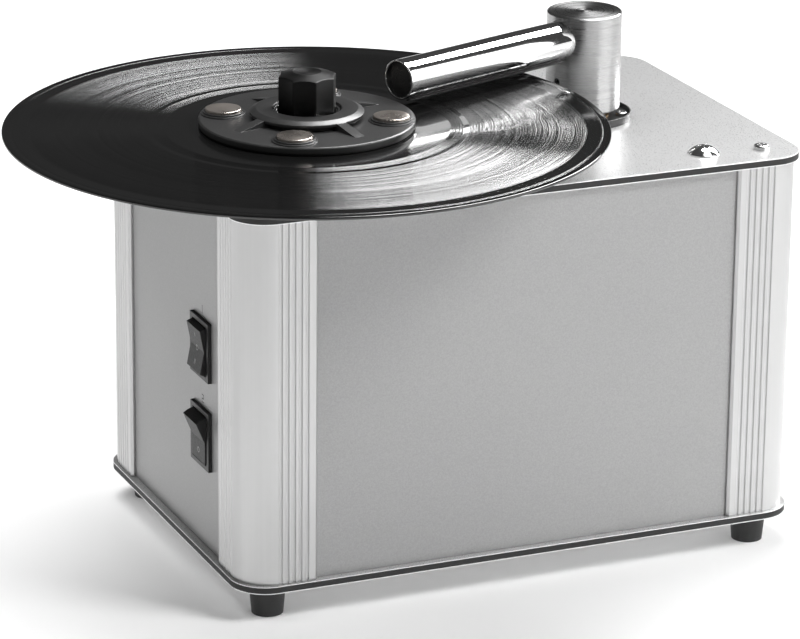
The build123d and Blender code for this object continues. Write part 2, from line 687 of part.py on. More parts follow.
# ---------------------------------------------------------------- suction arm
def arm_flange():
    """Black flange with a recessed floor, and the thrust washer in it."""
    at = Pos(POST_X, POST_Y, 0)
    flange = ring(FLANGE_R, SLEEVE_R + HOLE_CLEAR / 2, Z_TOP, Z_TOP + FLANGE_H)
    flange -= rod(FLANGE_R - FLANGE_LIP, Z_WELL, Z_TOP + FLANGE_H)
    for x, y in around(3, FLANGE_SCREW_RING, FLANGE_SCREW_FIRST):
        flange -= rod(M3_R + HOLE_CLEAR / 2, Z_TOP, Z_WELL, x, y)
    washer = ring(WASHER_R, SLEEVE_R + HOLE_CLEAR / 2, Z_WELL, Z_WELL + WASHER_T)
    save("arm_flange", at * flange)
    save("thrust_washer", at * washer)


def suction_sleeve():
    """Fixed pipe from the tank lid up into the post, with the groove that stops the arm."""
    at = Pos(POST_X, POST_Y, 0)
    z0 = Z_LID - SLEEVE_IN_TANK
    sleeve = rod(SLEEVE_R, z0, Z_SLEEVE_TOP)
    sleeve += rod(SLEEVE_COLLAR_R, Z_LID_TOP, Z_LID_TOP + SLEEVE_COLLAR_H)
    z_dog = Z_POST + SET_SCREW_Z
    low = z_dog - DOG_R - ARM_DOWN - DOG_CLEAR
    high = z_dog + DOG_R + ARM_UP + DOG_CLEAR
    spare = degrees((DOG_R + DOG_CLEAR) / (SLEEVE_R - GROOVE_IN_SLEEVE))
    sweep_deg = SWING_BACK + SWING_FRONT + 2 * spare
    groove = Cylinder(SLEEVE_R + 1, high - low, arc_size=sweep_deg, align=(Align.NONE, Align.NONE, Align.MIN))
    groove = Pos(0, 0, low) * Rot(0, 0, ARM_TURN - SWING_BACK - spare) * groove
    sleeve -= groove - rod(SLEEVE_R - GROOVE_IN_SLEEVE, low, high)
    z_seal = Z_POST + SEAL_RING_Z
    o_ring = Pos(0, 0, z_seal) * Torus(SLEEVE_R - SEAL_RING_R, SEAL_RING_R)
    sleeve -= ring(SLEEVE_R + 1, SLEEVE_R - 2 * SEAL_RING_R, z_seal - SEAL_RING_R, z_seal + SEAL_RING_R)
    sleeve -= rod(SLEEVE_R - SLEEVE_WALL, z0, Z_SLEEVE_TOP)
    save("suction_sleeve", at * sleeve)
    save("sleeve_seal", at * o_ring)


def lift_spring():
    """Coil spring that holds the arm just clear of the record."""
    z0 = Z_WELL + WASHER_T + SPRING_WIRE_R
    z1 = Z_POST + SPRING_POCKET_H - SPRING_WIRE_R
    path = Helix((z1 - z0) / SPRING_TURNS, z1 - z0, SPRING_R)
    start = Plane(origin=path @ 0, z_dir=path % 0)
    coil = sweep(start * Circle(SPRING_WIRE_R), path=path)
    save("lift_spring", Pos(POST_X, POST_Y, z0) * coil)


def arm_frame():
    """Place of the arm: its X axis runs out along the tube from the post's axis."""
    return Pos(POST_X, POST_Y, 0) * Rot(0, 0, ARM_TURN)


def arm_post():
    """Turned post, bored for the sleeve, the spring and the tube."""
    z_top = Z_POST + ARM_POST_H
    post = rod(ARM_POST_R, Z_POST, z_top)
    post = chamfer(post.edges().group_by(Axis.Z)[-1] + post.edges().group_by(Axis.Z)[0], ARM_POST_CHAMFER)
    post -= rod(SPRING_POCKET_R, Z_POST, Z_POST + SPRING_POCKET_H)
    post -= rod(SLEEVE_R + SLEEVE_FIT, Z_POST, Z_POST + POST_STEP)
    post -= rod(AIRWAY_R, Z_POST, Z_TUBE)
    post -= rod_x(TUBE_R + TUBE_FIT, TUBE_SEAT, ARM_POST_R + 1, 0, Z_TUBE)
    post -= rod_x(TUBE_R - TUBE_WALL, 0, TUBE_SEAT, 0, Z_TUBE)
    z_screw = Z_POST + SET_SCREW_Z
    post -= rod_x(SET_SCREW_R + TAP_CLEAR, SLEEVE_R, ARM_POST_R + 1, 0, z_screw)
    save("arm_post", arm_frame() * post)
    tip = SLEEVE_R + SLEEVE_FIT
    screw_end = ARM_POST_R - SET_SCREW_IN
    screw = rod_x(SET_SCREW_R, tip, screw_end, 0, z_screw)
    hexagon = extrude(RegularPolygon(SOCKET_R, 6), SOCKET_D)
    socket = Pos(screw_end - SOCKET_D, 0, z_screw) * Rot(0, 90, 0) * hexagon
    screw += rod_x(DOG_R, tip - GROOVE_IN_SLEEVE + DOG_CLEAR, tip, 0, z_screw)
    save("post_set_screw", arm_frame() * (screw - socket))


def arm_tube():
    """Suction tube with its slit, the plug in its end and the two velvet pads."""
    tube = rod_x(TUBE_R, TUBE_SEAT, TUBE_END, 0, Z_TUBE)
    tube -= rod_x(TUBE_R - TUBE_WALL, TUBE_SEAT, TUBE_END, 0, Z_TUBE)
    slit_end = TUBE_END - SLIT_END_IN
    z_low = Z_TUBE - TUBE_R - 1
    tube -= block(SLIT_START, slit_end, -SLIT_W / 2, SLIT_W / 2, z_low, Z_TUBE)
    plug_x1 = TUBE_END - PLUG_IN
    plug = rod_x(TUBE_R - TUBE_WALL - TUBE_FIT, plug_x1 - PLUG_T, plug_x1, 0, Z_TUBE)
    pads = []
    sector = Circle(TUBE_R + PAD_T) - Circle(TUBE_R)
    far = 3 * TUBE_R
    for side in (-1, 1):
        inner = Vector(0, -far, 0).rotate(Axis.Z, side * PAD_INNER_DEG)
        outer = Vector(0, -far, 0).rotate(Axis.Z, side * PAD_OUTER_DEG)
        wedge = Polygon((0, 0), (inner.X, inner.Y), (outer.X, outer.Y), align=None)
        pad = extrude(Plane.YZ * (sector & wedge), TUBE_END - PAD_END_IN - PAD_START)
        pads.append(arm_frame() * Pos(PAD_START, 0, Z_TUBE) * pad)
    save("arm_tube", arm_frame() * tube)
    save("tube_plug", arm_frame() * plug)
    save("velvet_pads", *pads)


# ---------------------------------------------------------------- switches
def switch_housing(z):
    """Bezel and body of one rocker switch."""
    x_out = -PANEL_X - BEZEL_T
    x_in = -PANEL_X + SWITCH_BODY_D
    y = SWITCH_Y
    bezel = block(x_out, -PANEL_X, y - BEZEL_W / 2, y + BEZEL_W / 2, z - BEZEL_H / 2, z + BEZEL_H / 2)
    body = block(-PANEL_X, x_in, y - SWITCH_BODY_W / 2, y + SWITCH_BODY_W / 2, z - SWITCH_BODY_H / 2,
                 z + SWITCH_BODY_H / 2)
    half_w = ROCKER_W / 2 + ROCKER_GAP
    half_h = ROCKER_R + ROCKER_GAP
    cavity = block(x_out, x_out + CAVITY_D, y - half_w, y + half_w, z - half_h, z + half_h)
    trunnion = rod_y(TRUNNION_R + TRUNNION_FIT, y - SWITCH_BODY_W / 2, y + SWITCH_BODY_W / 2,
                     x_out + ROCKER_PIVOT_IN, z)
    return bezel + body - cavity - trunnion


def rocker(z, tilt):
    """Rocker with a shallow V face, turned by tilt about its trunnions."""
    mid = ROCKER_PIVOT_IN + ROCKER_MID
    end = ROCKER_PIVOT_IN + ROCKER_END
    far = ROCKER_R + 1
    rise = (end - mid) * far / (ROCKER_R ** 2 - end ** 2) ** 0.5
    points = [(ROCKER_SUNK, -far), (ROCKER_SUNK, far), (-mid - rise, far), (-mid, 0), (-mid - rise, -far)]
    face = Polygon(*points, align=None) & Circle(ROCKER_R)
    body = extrude(Plane.XZ * face, ROCKER_W / 2, both=True)
    reach = ROCKER_W / 2 + TRUNNION_LEN
    body += rod_y(TRUNNION_R, -reach, reach, 0, 0)
    pivot_x = -PANEL_X - BEZEL_T + ROCKER_PIVOT_IN
    return Pos(pivot_x, SWITCH_Y, z) * Rot(0, tilt, 0) * body


def switches():
    """Three-position motor switch over the two-position vacuum switch."""
    save("motor_switch_housing", switch_housing(SWITCH_Z_UP))
    save("vacuum_switch_housing", switch_housing(SWITCH_Z_LOW))
    save("motor_rocker", rocker(SWITCH_Z_UP, 0))
    save("vacuum_rocker", rocker(SWITCH_Z_LOW, -ROCKER_TILT))
    x_in = -PANEL_X + SWITCH_BODY_D
    blades = []
    for z in (SWITCH_Z_UP, SWITCH_Z_LOW):
        for i in (-1, 0, 1):
            middle = z + i * BLADE_PITCH
            y0, y1 = SWITCH_Y - BLADE_W / 2, SWITCH_Y + BLADE_W / 2
            blades.append(block(x_in, x_in + BLADE_LEN, y0, y1, middle - BLADE_T / 2, middle + BLADE_T / 2))
    save("switch_terminals", *blades)


# ---------------------------------------------------------------- waste tank
def tank_corners():
    """Places of the lid screws."""
    half_l = TANK_L / 2 - TANK_BOSS_IN
    half_w = TANK_W / 2 - TANK_BOSS_IN
    return [(POST_X + sx * half_l, POST_Y + sy * half_w) for sx, sy in SIGNS]


def waste_tank():
    """Open tank welded from sheet, with screw blocks, a suction pipe and a drain pipe to the rear."""
    x0, x1 = POST_X - TANK_L / 2, POST_X + TANK_L / 2
    y0, y1 = POST_Y - TANK_W / 2, POST_Y + TANK_W / 2
    in_x0, in_x1 = x0 + TANK_WALL, x1 - TANK_WALL
    in_y0, in_y1 = y0 + TANK_WALL, y1 - TANK_WALL
    bottom = Z_FLOOR + TANK_WALL
    floor = block(x0, x1, y0, y1, Z_FLOOR, bottom)
    front = block(x0, x1, y0, in_y0, bottom, Z_TANK_TOP)
    right = block(in_x1, x1, in_y0, in_y1, bottom, Z_TANK_TOP)
    left = block(x0, in_x0, in_y0, in_y1, bottom, Z_TANK_TOP)
    left += rod_x(PIPE_R, x0 - PIPE_LEN, x0, FAN_Y, HOSE_Z)
    left -= rod_x(PIPE_R - PIPE_WALL, x0 - PIPE_LEN, in_x0, FAN_Y, HOSE_Z)
    rear = block(x0, x1, in_y1, y1, bottom, Z_TANK_TOP)
    rear += rod_y(DRAIN_PIPE_R, y1, FACE_Y, POST_X, DRAIN_Z)
    rear += rod_y(DRAIN_R, FACE_Y, DRAIN_TIP_Y, POST_X, DRAIN_Z)
    rear -= rod_y(DRAIN_BORE_R, in_y1, DRAIN_TIP_Y, POST_X, DRAIN_Z)
    blocks = []
    reach = TANK_BOSS_IN + TANK_BOSS_R
    for (sx, sy), (x, y) in zip(SIGNS, tank_corners()):
        side_x, far_x = POST_X + sx * (TANK_L / 2 - TANK_WALL), POST_X + sx * (TANK_L / 2 - reach)
        side_y, far_y = POST_Y + sy * (TANK_W / 2 - TANK_WALL), POST_Y + sy * (TANK_W / 2 - reach)
        one = block(*sorted((side_x, far_x)), *sorted((side_y, far_y)), Z_TANK_TOP - TANK_BOSS_H, Z_TANK_TOP)
        blocks.append(one - rod(M3_R + TAP_CLEAR, Z_LID_TOP - M3_LEN - SCREW_ROOM, Z_TANK_TOP, x, y))
    save("waste_tank", floor, front, right, left, rear, *blocks)


def tank_fittings():
    """Gasket and lid of the tank, and the plug in its drain."""
    gasket = slab(TANK_L, TANK_W, TANK_R, Z_TANK_TOP, Z_LID, POST_X, POST_Y)
    inner_l = TANK_L - 2 * GASKET_W
    inner_w = TANK_W - 2 * GASKET_W
    gasket -= slab(inner_l, inner_w, TANK_R, Z_TANK_TOP, Z_LID, POST_X, POST_Y)
    lid_l = TANK_L + 2 * LID_OVERHANG
    lid_w = TANK_W + 2 * LID_OVERHANG
    lid = slab(lid_l, lid_w, TANK_R + LID_OVERHANG, Z_LID, Z_LID_TOP, POST_X, POST_Y)
    lid -= rod(SLEEVE_R + TAP_CLEAR, Z_LID, Z_LID_TOP, POST_X, POST_Y)
    for x, y in tank_corners():
        gasket -= rod(M3_R + TAP_CLEAR, Z_TANK_TOP, Z_LID, x, y)
        lid -= rod(M3_R + HOLE_CLEAR / 2, Z_LID, Z_LID_TOP, x, y)
    save("tank_gasket", gasket)
    save("tank_lid", lid)
    plug_r = DRAIN_BORE_R - DRAIN_PLUG_FIT
    plug = rod_y(plug_r, DRAIN_TIP_Y - DRAIN_PLUG_LEN, DRAIN_TIP_Y, POST_X, DRAIN_Z)
    plug += rod_y(DRAIN_HEAD_R, DRAIN_TIP_Y, DRAIN_TIP_Y + DRAIN_HEAD_H, POST_X, DRAIN_Z)
    save("drain_plug", plug)


def tank_strap():
    """Steel strap with pressed-in nuts that hangs from the deck over the tank, and its screws."""
    half = STRAP_W / 2
    x0, x1 = STRAP_X - half, STRAP_X + half
    side_y = TANK_W / 2 + LID_OVERHANG + STRAP_SIDE_GAP
    strap = block(x0, x1, -side_y - STRAP_T, side_y + STRAP_T, Z_LID_TOP, Z_LID_TOP + STRAP_T)
    screws = []
    z_nut = Z_DECK - STRAP_T - STRAP_NUT_H
    for side in (-1, 1):
        near = side * side_y
        leg = sorted((near, near + side * STRAP_T))
        tab = sorted((near, near + side * STRAP_FOOT))
        strap += block(x0, x1, *leg, Z_LID_TOP, Z_DECK) + block(x0, x1, *tab, Z_DECK - STRAP_T, Z_DECK)
        y = side * STRAP_SCREW_Y
        strap += rod(STRAP_NUT_R, z_nut, Z_DECK, STRAP_X, y)
        strap -= rod(M6_R + TAP_CLEAR, z_nut, Z_DECK, STRAP_X, y)
        screws.append(dome_screw(STRAP_X, y, z_nut))
    save("tank_strap", strap)
    save("strap_screws", *screws)


def dome_screw(x, y, z_tip):
    """Large domed cross-head screw on the deck."""
    ball_r = (DOME_R ** 2 + DOME_H ** 2) / (2 * DOME_H)
    top = Z_TOP + DOME_RIM + DOME_H
    head = rod(DOME_R, Z_TOP, top, x, y) & (Pos(x, y, top - ball_r) * Sphere(ball_r))
    head -= cross_recess(DOME_R, DOME_CROSS_D, top, x, y)
    return head + rod(M6_R, z_tip, Z_TOP, x, y)


# ---------------------------------------------------------------- vacuum motor
def vacuum_motor():
    """Motor in its cup on the base plate."""
    cup_r = VAC_MOTOR_R + CUP_GAP
    cup = rod(CUP_FOOT_R, Z_FLOOR, Z_MOTOR) + ring(cup_r + CUP_WALL, cup_r, Z_MOTOR, Z_FLOOR + CUP_H)
    for x, y in around(3, CUP_SCREW_RING, 90):
        cup -= rod(M4_R + TAP_CLEAR, Z_FLOOR, Z_MOTOR, x, y)
    motor = rod(VAC_MOTOR_END_R, Z_MOTOR, Z_FAN)
    motor += rod(VAC_MOTOR_R, Z_MOTOR + VAC_MOTOR_END_H, Z_FAN - VAC_MOTOR_END_H)
    motor -= rod(SHAFT_R + SHAFT_FIT, Z_FAN - FAN_SHAFT_BITE, Z_FAN)
    save("motor_cup", Pos(FAN_X, FAN_Y, 0) * cup)
    save("vacuum_motor", Pos(FAN_X, FAN_Y, 0) * motor)


def fan():
    """Fan housing with its inlet pipe, and the impeller with its shaft."""
    at = Pos(FAN_X, FAN_Y, 0)
    case = rod(FAN_R, Z_FAN, Z_FAN_TOP) + rod(PIPE_R, Z_FAN_TOP, Z_FAN_TOP + PIPE_LEN)
    case -= rod(FAN_R - FAN_WALL, Z_FAN + FAN_WALL, Z_FAN_TOP - FAN_WALL)
    case -= rod(PIPE_R - PIPE_WALL, Z_FAN_TOP - FAN_WALL, Z_FAN_TOP + PIPE_LEN)
    case -= rod(SHAFT_R + HOLE_CLEAR, Z_FAN, Z_FAN + FAN_WALL)
    middle = Z_FAN + FAN_H / 2
    for i in range(FAN_PORTS):
        port = block(FAN_R - 2 * FAN_WALL, FAN_R + 1, -FAN_PORT_W / 2, FAN_PORT_W / 2,
                     middle - FAN_PORT_H / 2, middle + FAN_PORT_H / 2)
        case -= Rot(0, 0, 360 / FAN_PORTS * i) * port
    z0 = Z_FAN + FAN_WALL + IMPELLER_GAP
    z1 = z0 + IMPELLER_DISC
    wheel = rod(IMPELLER_R, z0, z1) + rod(IMPELLER_HUB_R, z1, z1 + VANE_H)
    for i in range(VANE_COUNT):
        vane = block(IMPELLER_HUB_R - 1, IMPELLER_R - 1, -VANE_T / 2, VANE_T / 2, z1, z1 + VANE_H)
        vane -= ring(VANE_IN_R + 4, IMPELLER_HUB_R, z1 + VANE_H / 2, z1 + VANE_H)
        wheel += Rot(0, 0, 360 / VANE_COUNT * i) * vane
    wheel += rod(SHAFT_R, Z_FAN - FAN_SHAFT_BITE, z0)
    save("fan_housing", at * case)
    save("fan_impeller", at * wheel)


def suction_hose():
    """Hose from the fan's inlet up and over to the tank's pipe: a run, a quarter bend and a run."""
    z_bend = HOSE_Z - HOSE_BEND_R
    x_bend = FAN_X + HOSE_BEND_R
    x_end = POST_X - TANK_L / 2
    inner = PIPE_R + HOSE_FIT
    outer = inner + HOSE_WALL
    hose = ring(outer, inner, Z_FAN_TOP, z_bend, FAN_X, FAN_Y)
    hose += Pos(x_bend, FAN_Y, z_bend) * quarter_bend()
    hose += rod_x(outer, x_bend, x_end, FAN_Y, HOSE_Z) - rod_x(inner, x_bend, x_end, FAN_Y, HOSE_Z)
    save("suction_hose", hose)


def quarter_bend():
    """Quarter of a ring of hose, from straight up to along +X, about its own centre."""
    inner = PIPE_R + HOSE_FIT
    section = Pos(-HOSE_BEND_R, 0) * (Circle(inner + HOSE_WALL) - Circle(inner))
    return revolve(section, Axis.Y, 90)


# ---------------------------------------------------------------- electrical parts
def mains_inlet():
    """Appliance inlet on the rear panel, with three pins moulded in."""
    y_face = FACE_Y
    y_in = PANEL_Y - INLET_BODY_D
    half_l, half_h = INLET_BODY_L / 2, INLET_BODY_H / 2
    flange = block(INLET_X - INLET_FLANGE_L / 2, INLET_X + INLET_FLANGE_L / 2, PANEL_Y, y_face,
                   INLET_Z - INLET_FLANGE_H / 2, INLET_Z + INLET_FLANGE_H / 2)
    body = block(INLET_X - half_l, INLET_X + half_l, y_in, PANEL_Y, INLET_Z - half_h, INLET_Z + half_h)
    hole_l, hole_h = INLET_HOLE_L / 2, INLET_HOLE_H / 2
    y_hole = y_face - INLET_HOLE_D
    inlet = flange + body
    inlet -= block(INLET_X - hole_l, INLET_X + hole_l, y_hole, y_face, INLET_Z - hole_h, INLET_Z + hole_h)
    for i in (-1, 0, 1):
        x = INLET_X + i * PIN_PITCH
        inlet += block(x - PIN_T / 2, x + PIN_T / 2, y_hole, y_hole + PIN_LEN, INLET_Z - PIN_W / 2,
                       INLET_Z + PIN_W / 2)
    for side in (-1, 1):
        x = INLET_X + side * INLET_SCREW_PITCH / 2
        inlet -= rod_y(M3_R + HOLE_CLEAR / 2, PANEL_Y, y_face, x, INLET_Z)
    save("mains_inlet", inlet)


def power_board():
    """Board on four snap-in standoffs, and the motor capacitor on it."""
    half_l = BOARD_L / 2
    half_w = BOARD_W / 2
    z1 = Z_BOARD + BOARD_T
    board = block(BOARD_X - half_l, BOARD_X + half_l, BOARD_Y - half_w, BOARD_Y + half_w, Z_BOARD, z1)
    standoffs = []
    for sx, sy in SIGNS:
        x = BOARD_X + sx * (half_l - STANDOFF_IN)
        y = BOARD_Y + sy * (half_w - STANDOFF_IN)
        board -= rod(M3_R + HOLE_CLEAR / 2, Z_BOARD, z1, x, y)
        standoffs.append(rod(STANDOFF_R, Z_FLOOR, Z_BOARD, x, y) + rod(M3_R, Z_BOARD, z1 + 1, x, y))
    save("power_board", board)
    save("board_standoffs", *standoffs)
    save("motor_capacitor", rod(CAP_R, z1, z1 + CAP_H, BOARD_X, BOARD_Y + CAP_Y))


def main():
    """Write every node."""
    os.makedirs("parts", exist_ok=True)
    plates()
    corner_posts()
    panels()
    feet()
    m4_screws()
    m3_screws()
    gearmotor()
    platter()
    record()
    clamp_disc()
    clamp_fittings()
    clamp_knob()
    arm_flange()
    suction_sleeve()
    lift_spring()
    arm_post()
    arm_tube()
    switches()
    waste_tank()
    tank_fittings()
    tank_strap()
    vacuum_motor()
    fan()
    suction_hose()
    mains_inlet()
    power_board()


main()
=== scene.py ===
"""Looks of a vacuum record cleaning machine, dressed over its packed construction.

Metres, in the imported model's frame: +X to the right along the front, +Y to the rear, +Z up, with
the origin on the floor. Sizes written with MM are millimetres.
"""
import logging
import math
from dataclasses import dataclass, replace
from enum import Enum

import bmesh
import bpy
import numpy as np
from mathutils import Matrix, Vector


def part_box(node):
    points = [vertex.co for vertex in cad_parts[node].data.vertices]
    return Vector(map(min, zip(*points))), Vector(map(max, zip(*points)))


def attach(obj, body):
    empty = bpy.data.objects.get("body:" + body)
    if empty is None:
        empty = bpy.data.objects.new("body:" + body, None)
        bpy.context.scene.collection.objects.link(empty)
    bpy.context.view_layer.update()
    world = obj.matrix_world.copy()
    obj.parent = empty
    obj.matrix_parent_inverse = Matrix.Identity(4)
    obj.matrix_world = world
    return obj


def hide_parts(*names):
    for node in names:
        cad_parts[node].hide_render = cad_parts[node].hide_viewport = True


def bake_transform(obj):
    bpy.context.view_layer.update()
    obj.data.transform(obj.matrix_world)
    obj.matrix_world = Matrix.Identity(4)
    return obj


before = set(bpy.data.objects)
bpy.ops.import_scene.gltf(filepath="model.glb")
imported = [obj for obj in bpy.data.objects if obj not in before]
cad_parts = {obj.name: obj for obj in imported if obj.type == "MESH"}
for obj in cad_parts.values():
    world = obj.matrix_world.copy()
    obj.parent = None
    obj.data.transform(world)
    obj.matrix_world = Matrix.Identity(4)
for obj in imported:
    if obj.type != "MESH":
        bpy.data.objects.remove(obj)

LOG = logging.getLogger("record_cleaner")
# A millimetre, the line width of a printed ring, and the range that most of a noise's values lie in.
MM = 0.001
RING_LINE = 0.22 * MM
NOISE = (0.3, 0.7)
Array = np.ndarray
Socket = bpy.types.NodeSocket
Node = bpy.types.Node
Material = bpy.types.Material
Piece = bpy.types.Object


class Body(str, Enum):
    """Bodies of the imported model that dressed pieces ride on."""

    CHASSIS = "chassis"
    PLATTER = "platter_set"
    CLAMP = "clamp"
    SWIVEL = "swivel"
    ARM = "arm"


# ---------------------------------------------------------------- shader building
class Graph:
    """Node tree of one material, with a Principled shader in it."""

    def __init__(self, name: str) -> None:
        """Start an empty material.

        Args:
            name: the material's name.
        """
        self.material = bpy.data.materials.new(name)
        self.material.use_nodes = True
        self.tree = self.material.node_tree
        self.tree.nodes.clear()
        self.output = self.tree.nodes.new("ShaderNodeOutputMaterial")
        self.shader = self.tree.nodes.new("ShaderNodeBsdfPrincipled")
        self.link(self.shader.outputs[0], self.output.inputs["Surface"])
        self.coords = self.tree.nodes.new("ShaderNodeTexCoord").outputs["Object"]

    def link(self, source: Socket, target: Socket) -> None:
        """Join two sockets."""
        self.tree.links.new(source, target)

    def add(self, kind: str, settings: dict | None = None, **inputs: object) -> Node:
        """Add a node, set its properties and fill its sockets.

        Args:
            kind: the node's type name without the ShaderNode prefix.
            settings: node properties by name.
            inputs: socket values or source sockets, by socket name with _ for a space or by number.

        Returns:
            The new node.
        """
        node = self.tree.nodes.new("ShaderNode" + kind)
        for key, value in (settings or {}).items():
            setattr(node, key, value)
        for key, value in inputs.items():
            numbered = key[0] == "i" and key[1:].isdigit()
            self.fill(node.inputs[int(key[1:]) if numbered else key.replace("_", " ")], value)
        return node

    def fill(self, socket: Socket, value: object) -> None:
        """Link a source socket to a socket, or set a constant on it.

        Args:
            socket: the input to fill.
            value: a source socket or a constant.
        """
        if isinstance(value, Socket):
            self.link(value, socket)
        else:
            socket.default_value = value

    def set(self, **values: object) -> None:
        """Set or link sockets of the Principled shader, named with _ for a space."""
        for key, value in values.items():
            self.fill(self.shader.inputs[key.replace("_", " ")], value)

    def math(self, operation: str, a: object, b: object = 0.0, c: object = 0.0) -> Socket:
        """Add a Math node and return its value."""
        return self.add("Math", {"operation": operation}, i0=a, i1=b, i2=c).outputs[0]

    def placed(self, location: tuple, scale: tuple = (1, 1, 1)) -> Socket:
        """Object coordinates, stretched by scale and then moved by location."""
        return self.add("Mapping", Vector=self.coords, Location=location, Scale=scale).outputs[0]

    def noise(
        self, scale: float, detail: float = 2.0, vector: Socket | None = None, rough: float = 0.5
    ) -> Socket:
        """Value of a noise texture.

        Args:
            scale: cells in a metre.
            detail: finer layers on top.
            vector: coordinates to read, or the object's own.
            rough: strength of the finer layers.

        Returns:
            The value, from 0 to 1.
        """
        place = self.coords if vector is None else vector
        node = self.add("TexNoise", Vector=place, Scale=scale, Detail=detail, Roughness=rough)
        return node.outputs[0]

    def lines(self, value: object, scale: float, detail: float = 2.0) -> Socket:
        """One-dimensional noise along a value, for rings and streaks."""
        settings = {"noise_dimensions": "1D"}
        return self.add("TexNoise", settings, W=value, Scale=scale, Detail=detail).outputs[0]

    def span(
        self, value: object, low: float, high: float, to_low: float = 0.0, to_high: float = 1.0
    ) -> Socket:
        """Map a value in a straight line from low..high to to_low..to_high, held at both ends."""
        ends = {"From_Min": low, "From_Max": high, "To_Min": to_low, "To_Max": to_high}
        return self.add("MapRange", Value=value, **ends).outputs[0]

    def blend(self, factor: object, one: object, two: object) -> Socket:
        """Mix two colours: one at a factor of 0, two at a factor of 1."""
        return self.add("Mix", {"data_type": "RGBA"}, i0=factor, i6=one, i7=two).outputs[2]

    def vector(self, operation: str, **inputs: object) -> Socket:
        """Add a Vector Math node and return its vector."""
        return self.add("VectorMath", {"operation": operation}, **inputs).outputs[0]

    def bump(
        self, height: object, distance: float, strength: float = 1.0, edge: float = 0.0
    ) -> None:
        """Feed a bump, on top of a rounded-edge normal, into the shader.

        Args:
            height: the height value.
            distance: how high a height of 1 stands, in metres.
            strength: share of the bump that shows.
            edge: radius by which hard edges look rounded, in metres.
        """
        node = self.add("Bump", Height=height, Distance=distance, Strength=strength)
        if edge:
            self.link(self.rounded(edge), node.inputs["Normal"])
        self.set(Normal=node.outputs[0])

    def rounded(self, edge: float) -> Socket:
        """Normal that looks rounded by a radius along hard edges."""
        return self.add("Bevel", {"samples": 6}, Radius=edge).outputs[0]

    def inked(self, colour: object, marks: tuple, ink: tuple) -> Socket:
        """Print marks over a colour, seen along X.

        Args:
            colour: the colour under the marks.
            marks: bars as (y, z, half width, half height), and rings as (y, z, radius).
            ink: the colour of the marks.

        Returns:
            The marked colour.
        """
        parts = self.add("SeparateXYZ", Vector=self.coords)
        for mark in marks:
            y, z = (self.math("SUBTRACT", parts.outputs[i + 1], mark[i]) for i in (0, 1))
            if len(mark) == 4:
                wide = self.math("COMPARE", y, 0.0, mark[2])
                tall = self.math("COMPARE", z, 0.0, mark[3])
                inside = self.math("MULTIPLY", wide, tall)
            else:
                squares = self.math("ADD", self.math("POWER", y, 2.0), self.math("POWER", z, 2.0))
                inside = self.math("COMPARE", self.math("SQRT", squares), mark[2], RING_LINE)
            colour = self.blend(inside, colour, ink)
        return colour

    def height(self) -> Socket:
        """Height over the floor."""
        return self.add("SeparateXYZ", Vector=self.coords).outputs[2]

    def radius(self, x: float, y: float) -> Socket:
        """Distance from an upright axis through x and y."""
        node = self.add("VectorMath", {"operation": "LENGTH"}, i0=self.from_axis(x, y))
        return node.outputs["Value"]

    def from_axis(self, x: float, y: float) -> Socket:
        """Level vector that leads from an upright axis through x and y to the point."""
        return self.placed((-x, -y, 0), (1, 1, 0))

    def around(self, x: float, y: float) -> Socket:
        """Direction along a circle about an upright axis through x and y."""
        return self.vector("CROSS_PRODUCT", i0=(0, 0, 1), i1=self.from_axis(x, y))


def grey(value: float) -> tuple:
    """Opaque linear grey."""
    return (value, value, value, 1.0)


def shaded(colour: tuple, factor: float) -> tuple:
    """Opaque colour that is darker or lighter by a factor, held at white."""
    return tuple(min(1.0, part * factor) for part in colour[:3]) + (1.0,)


# ---------------------------------------------------------------- finishes
@dataclass(frozen=True)
class Sparkle:
    """Fine bead-blasted or metal-flake sheet.

    The colour wavers by a broad cloud and a fine grain, and the grain also tilts the surface.
    """

    name: str
    colour: tuple
    roughness: float = 0.42
    metallic: float = 0.9
    grain: float = 2600.0
    depth: float = 0.05 * MM
    spread: float = 0.06
    edge: float = 0.3 * MM
    marks: tuple = ()

    def graph(self) -> Graph:
        """Build the node tree, in which a factor of 0.5555 gives the plain colour.

        Returns:
            The tree, to which a finish may add.
        """
        g = Graph(self.name)
        grain = g.noise(self.grain, 3.0, rough=0.75)
        cloud = g.noise(14.0, 2.0)
        speck = g.span(grain, 0.25, 0.75, -self.spread, self.spread)
        shade = g.math("ADD", speck, g.span(cloud, *NOISE, -0.01, 0.01))
        factor = g.math("ADD", shade, 0.5555)
        skin = g.blend(factor, shaded(self.colour, 0.75), shaded(self.colour, 1.2))
        paint = g.inked(skin, self.marks, grey(0.012))
        g.set(Base_Color=paint, Metallic=self.metallic)
        g.set(Roughness=g.span(grain, *NOISE, self.roughness - 0.05, self.roughness + 0.07))
        g.bump(grain, self.depth, 0.5, self.edge)
        return g

    def material(self) -> Material:
        """Build the material."""
        return self.graph().material


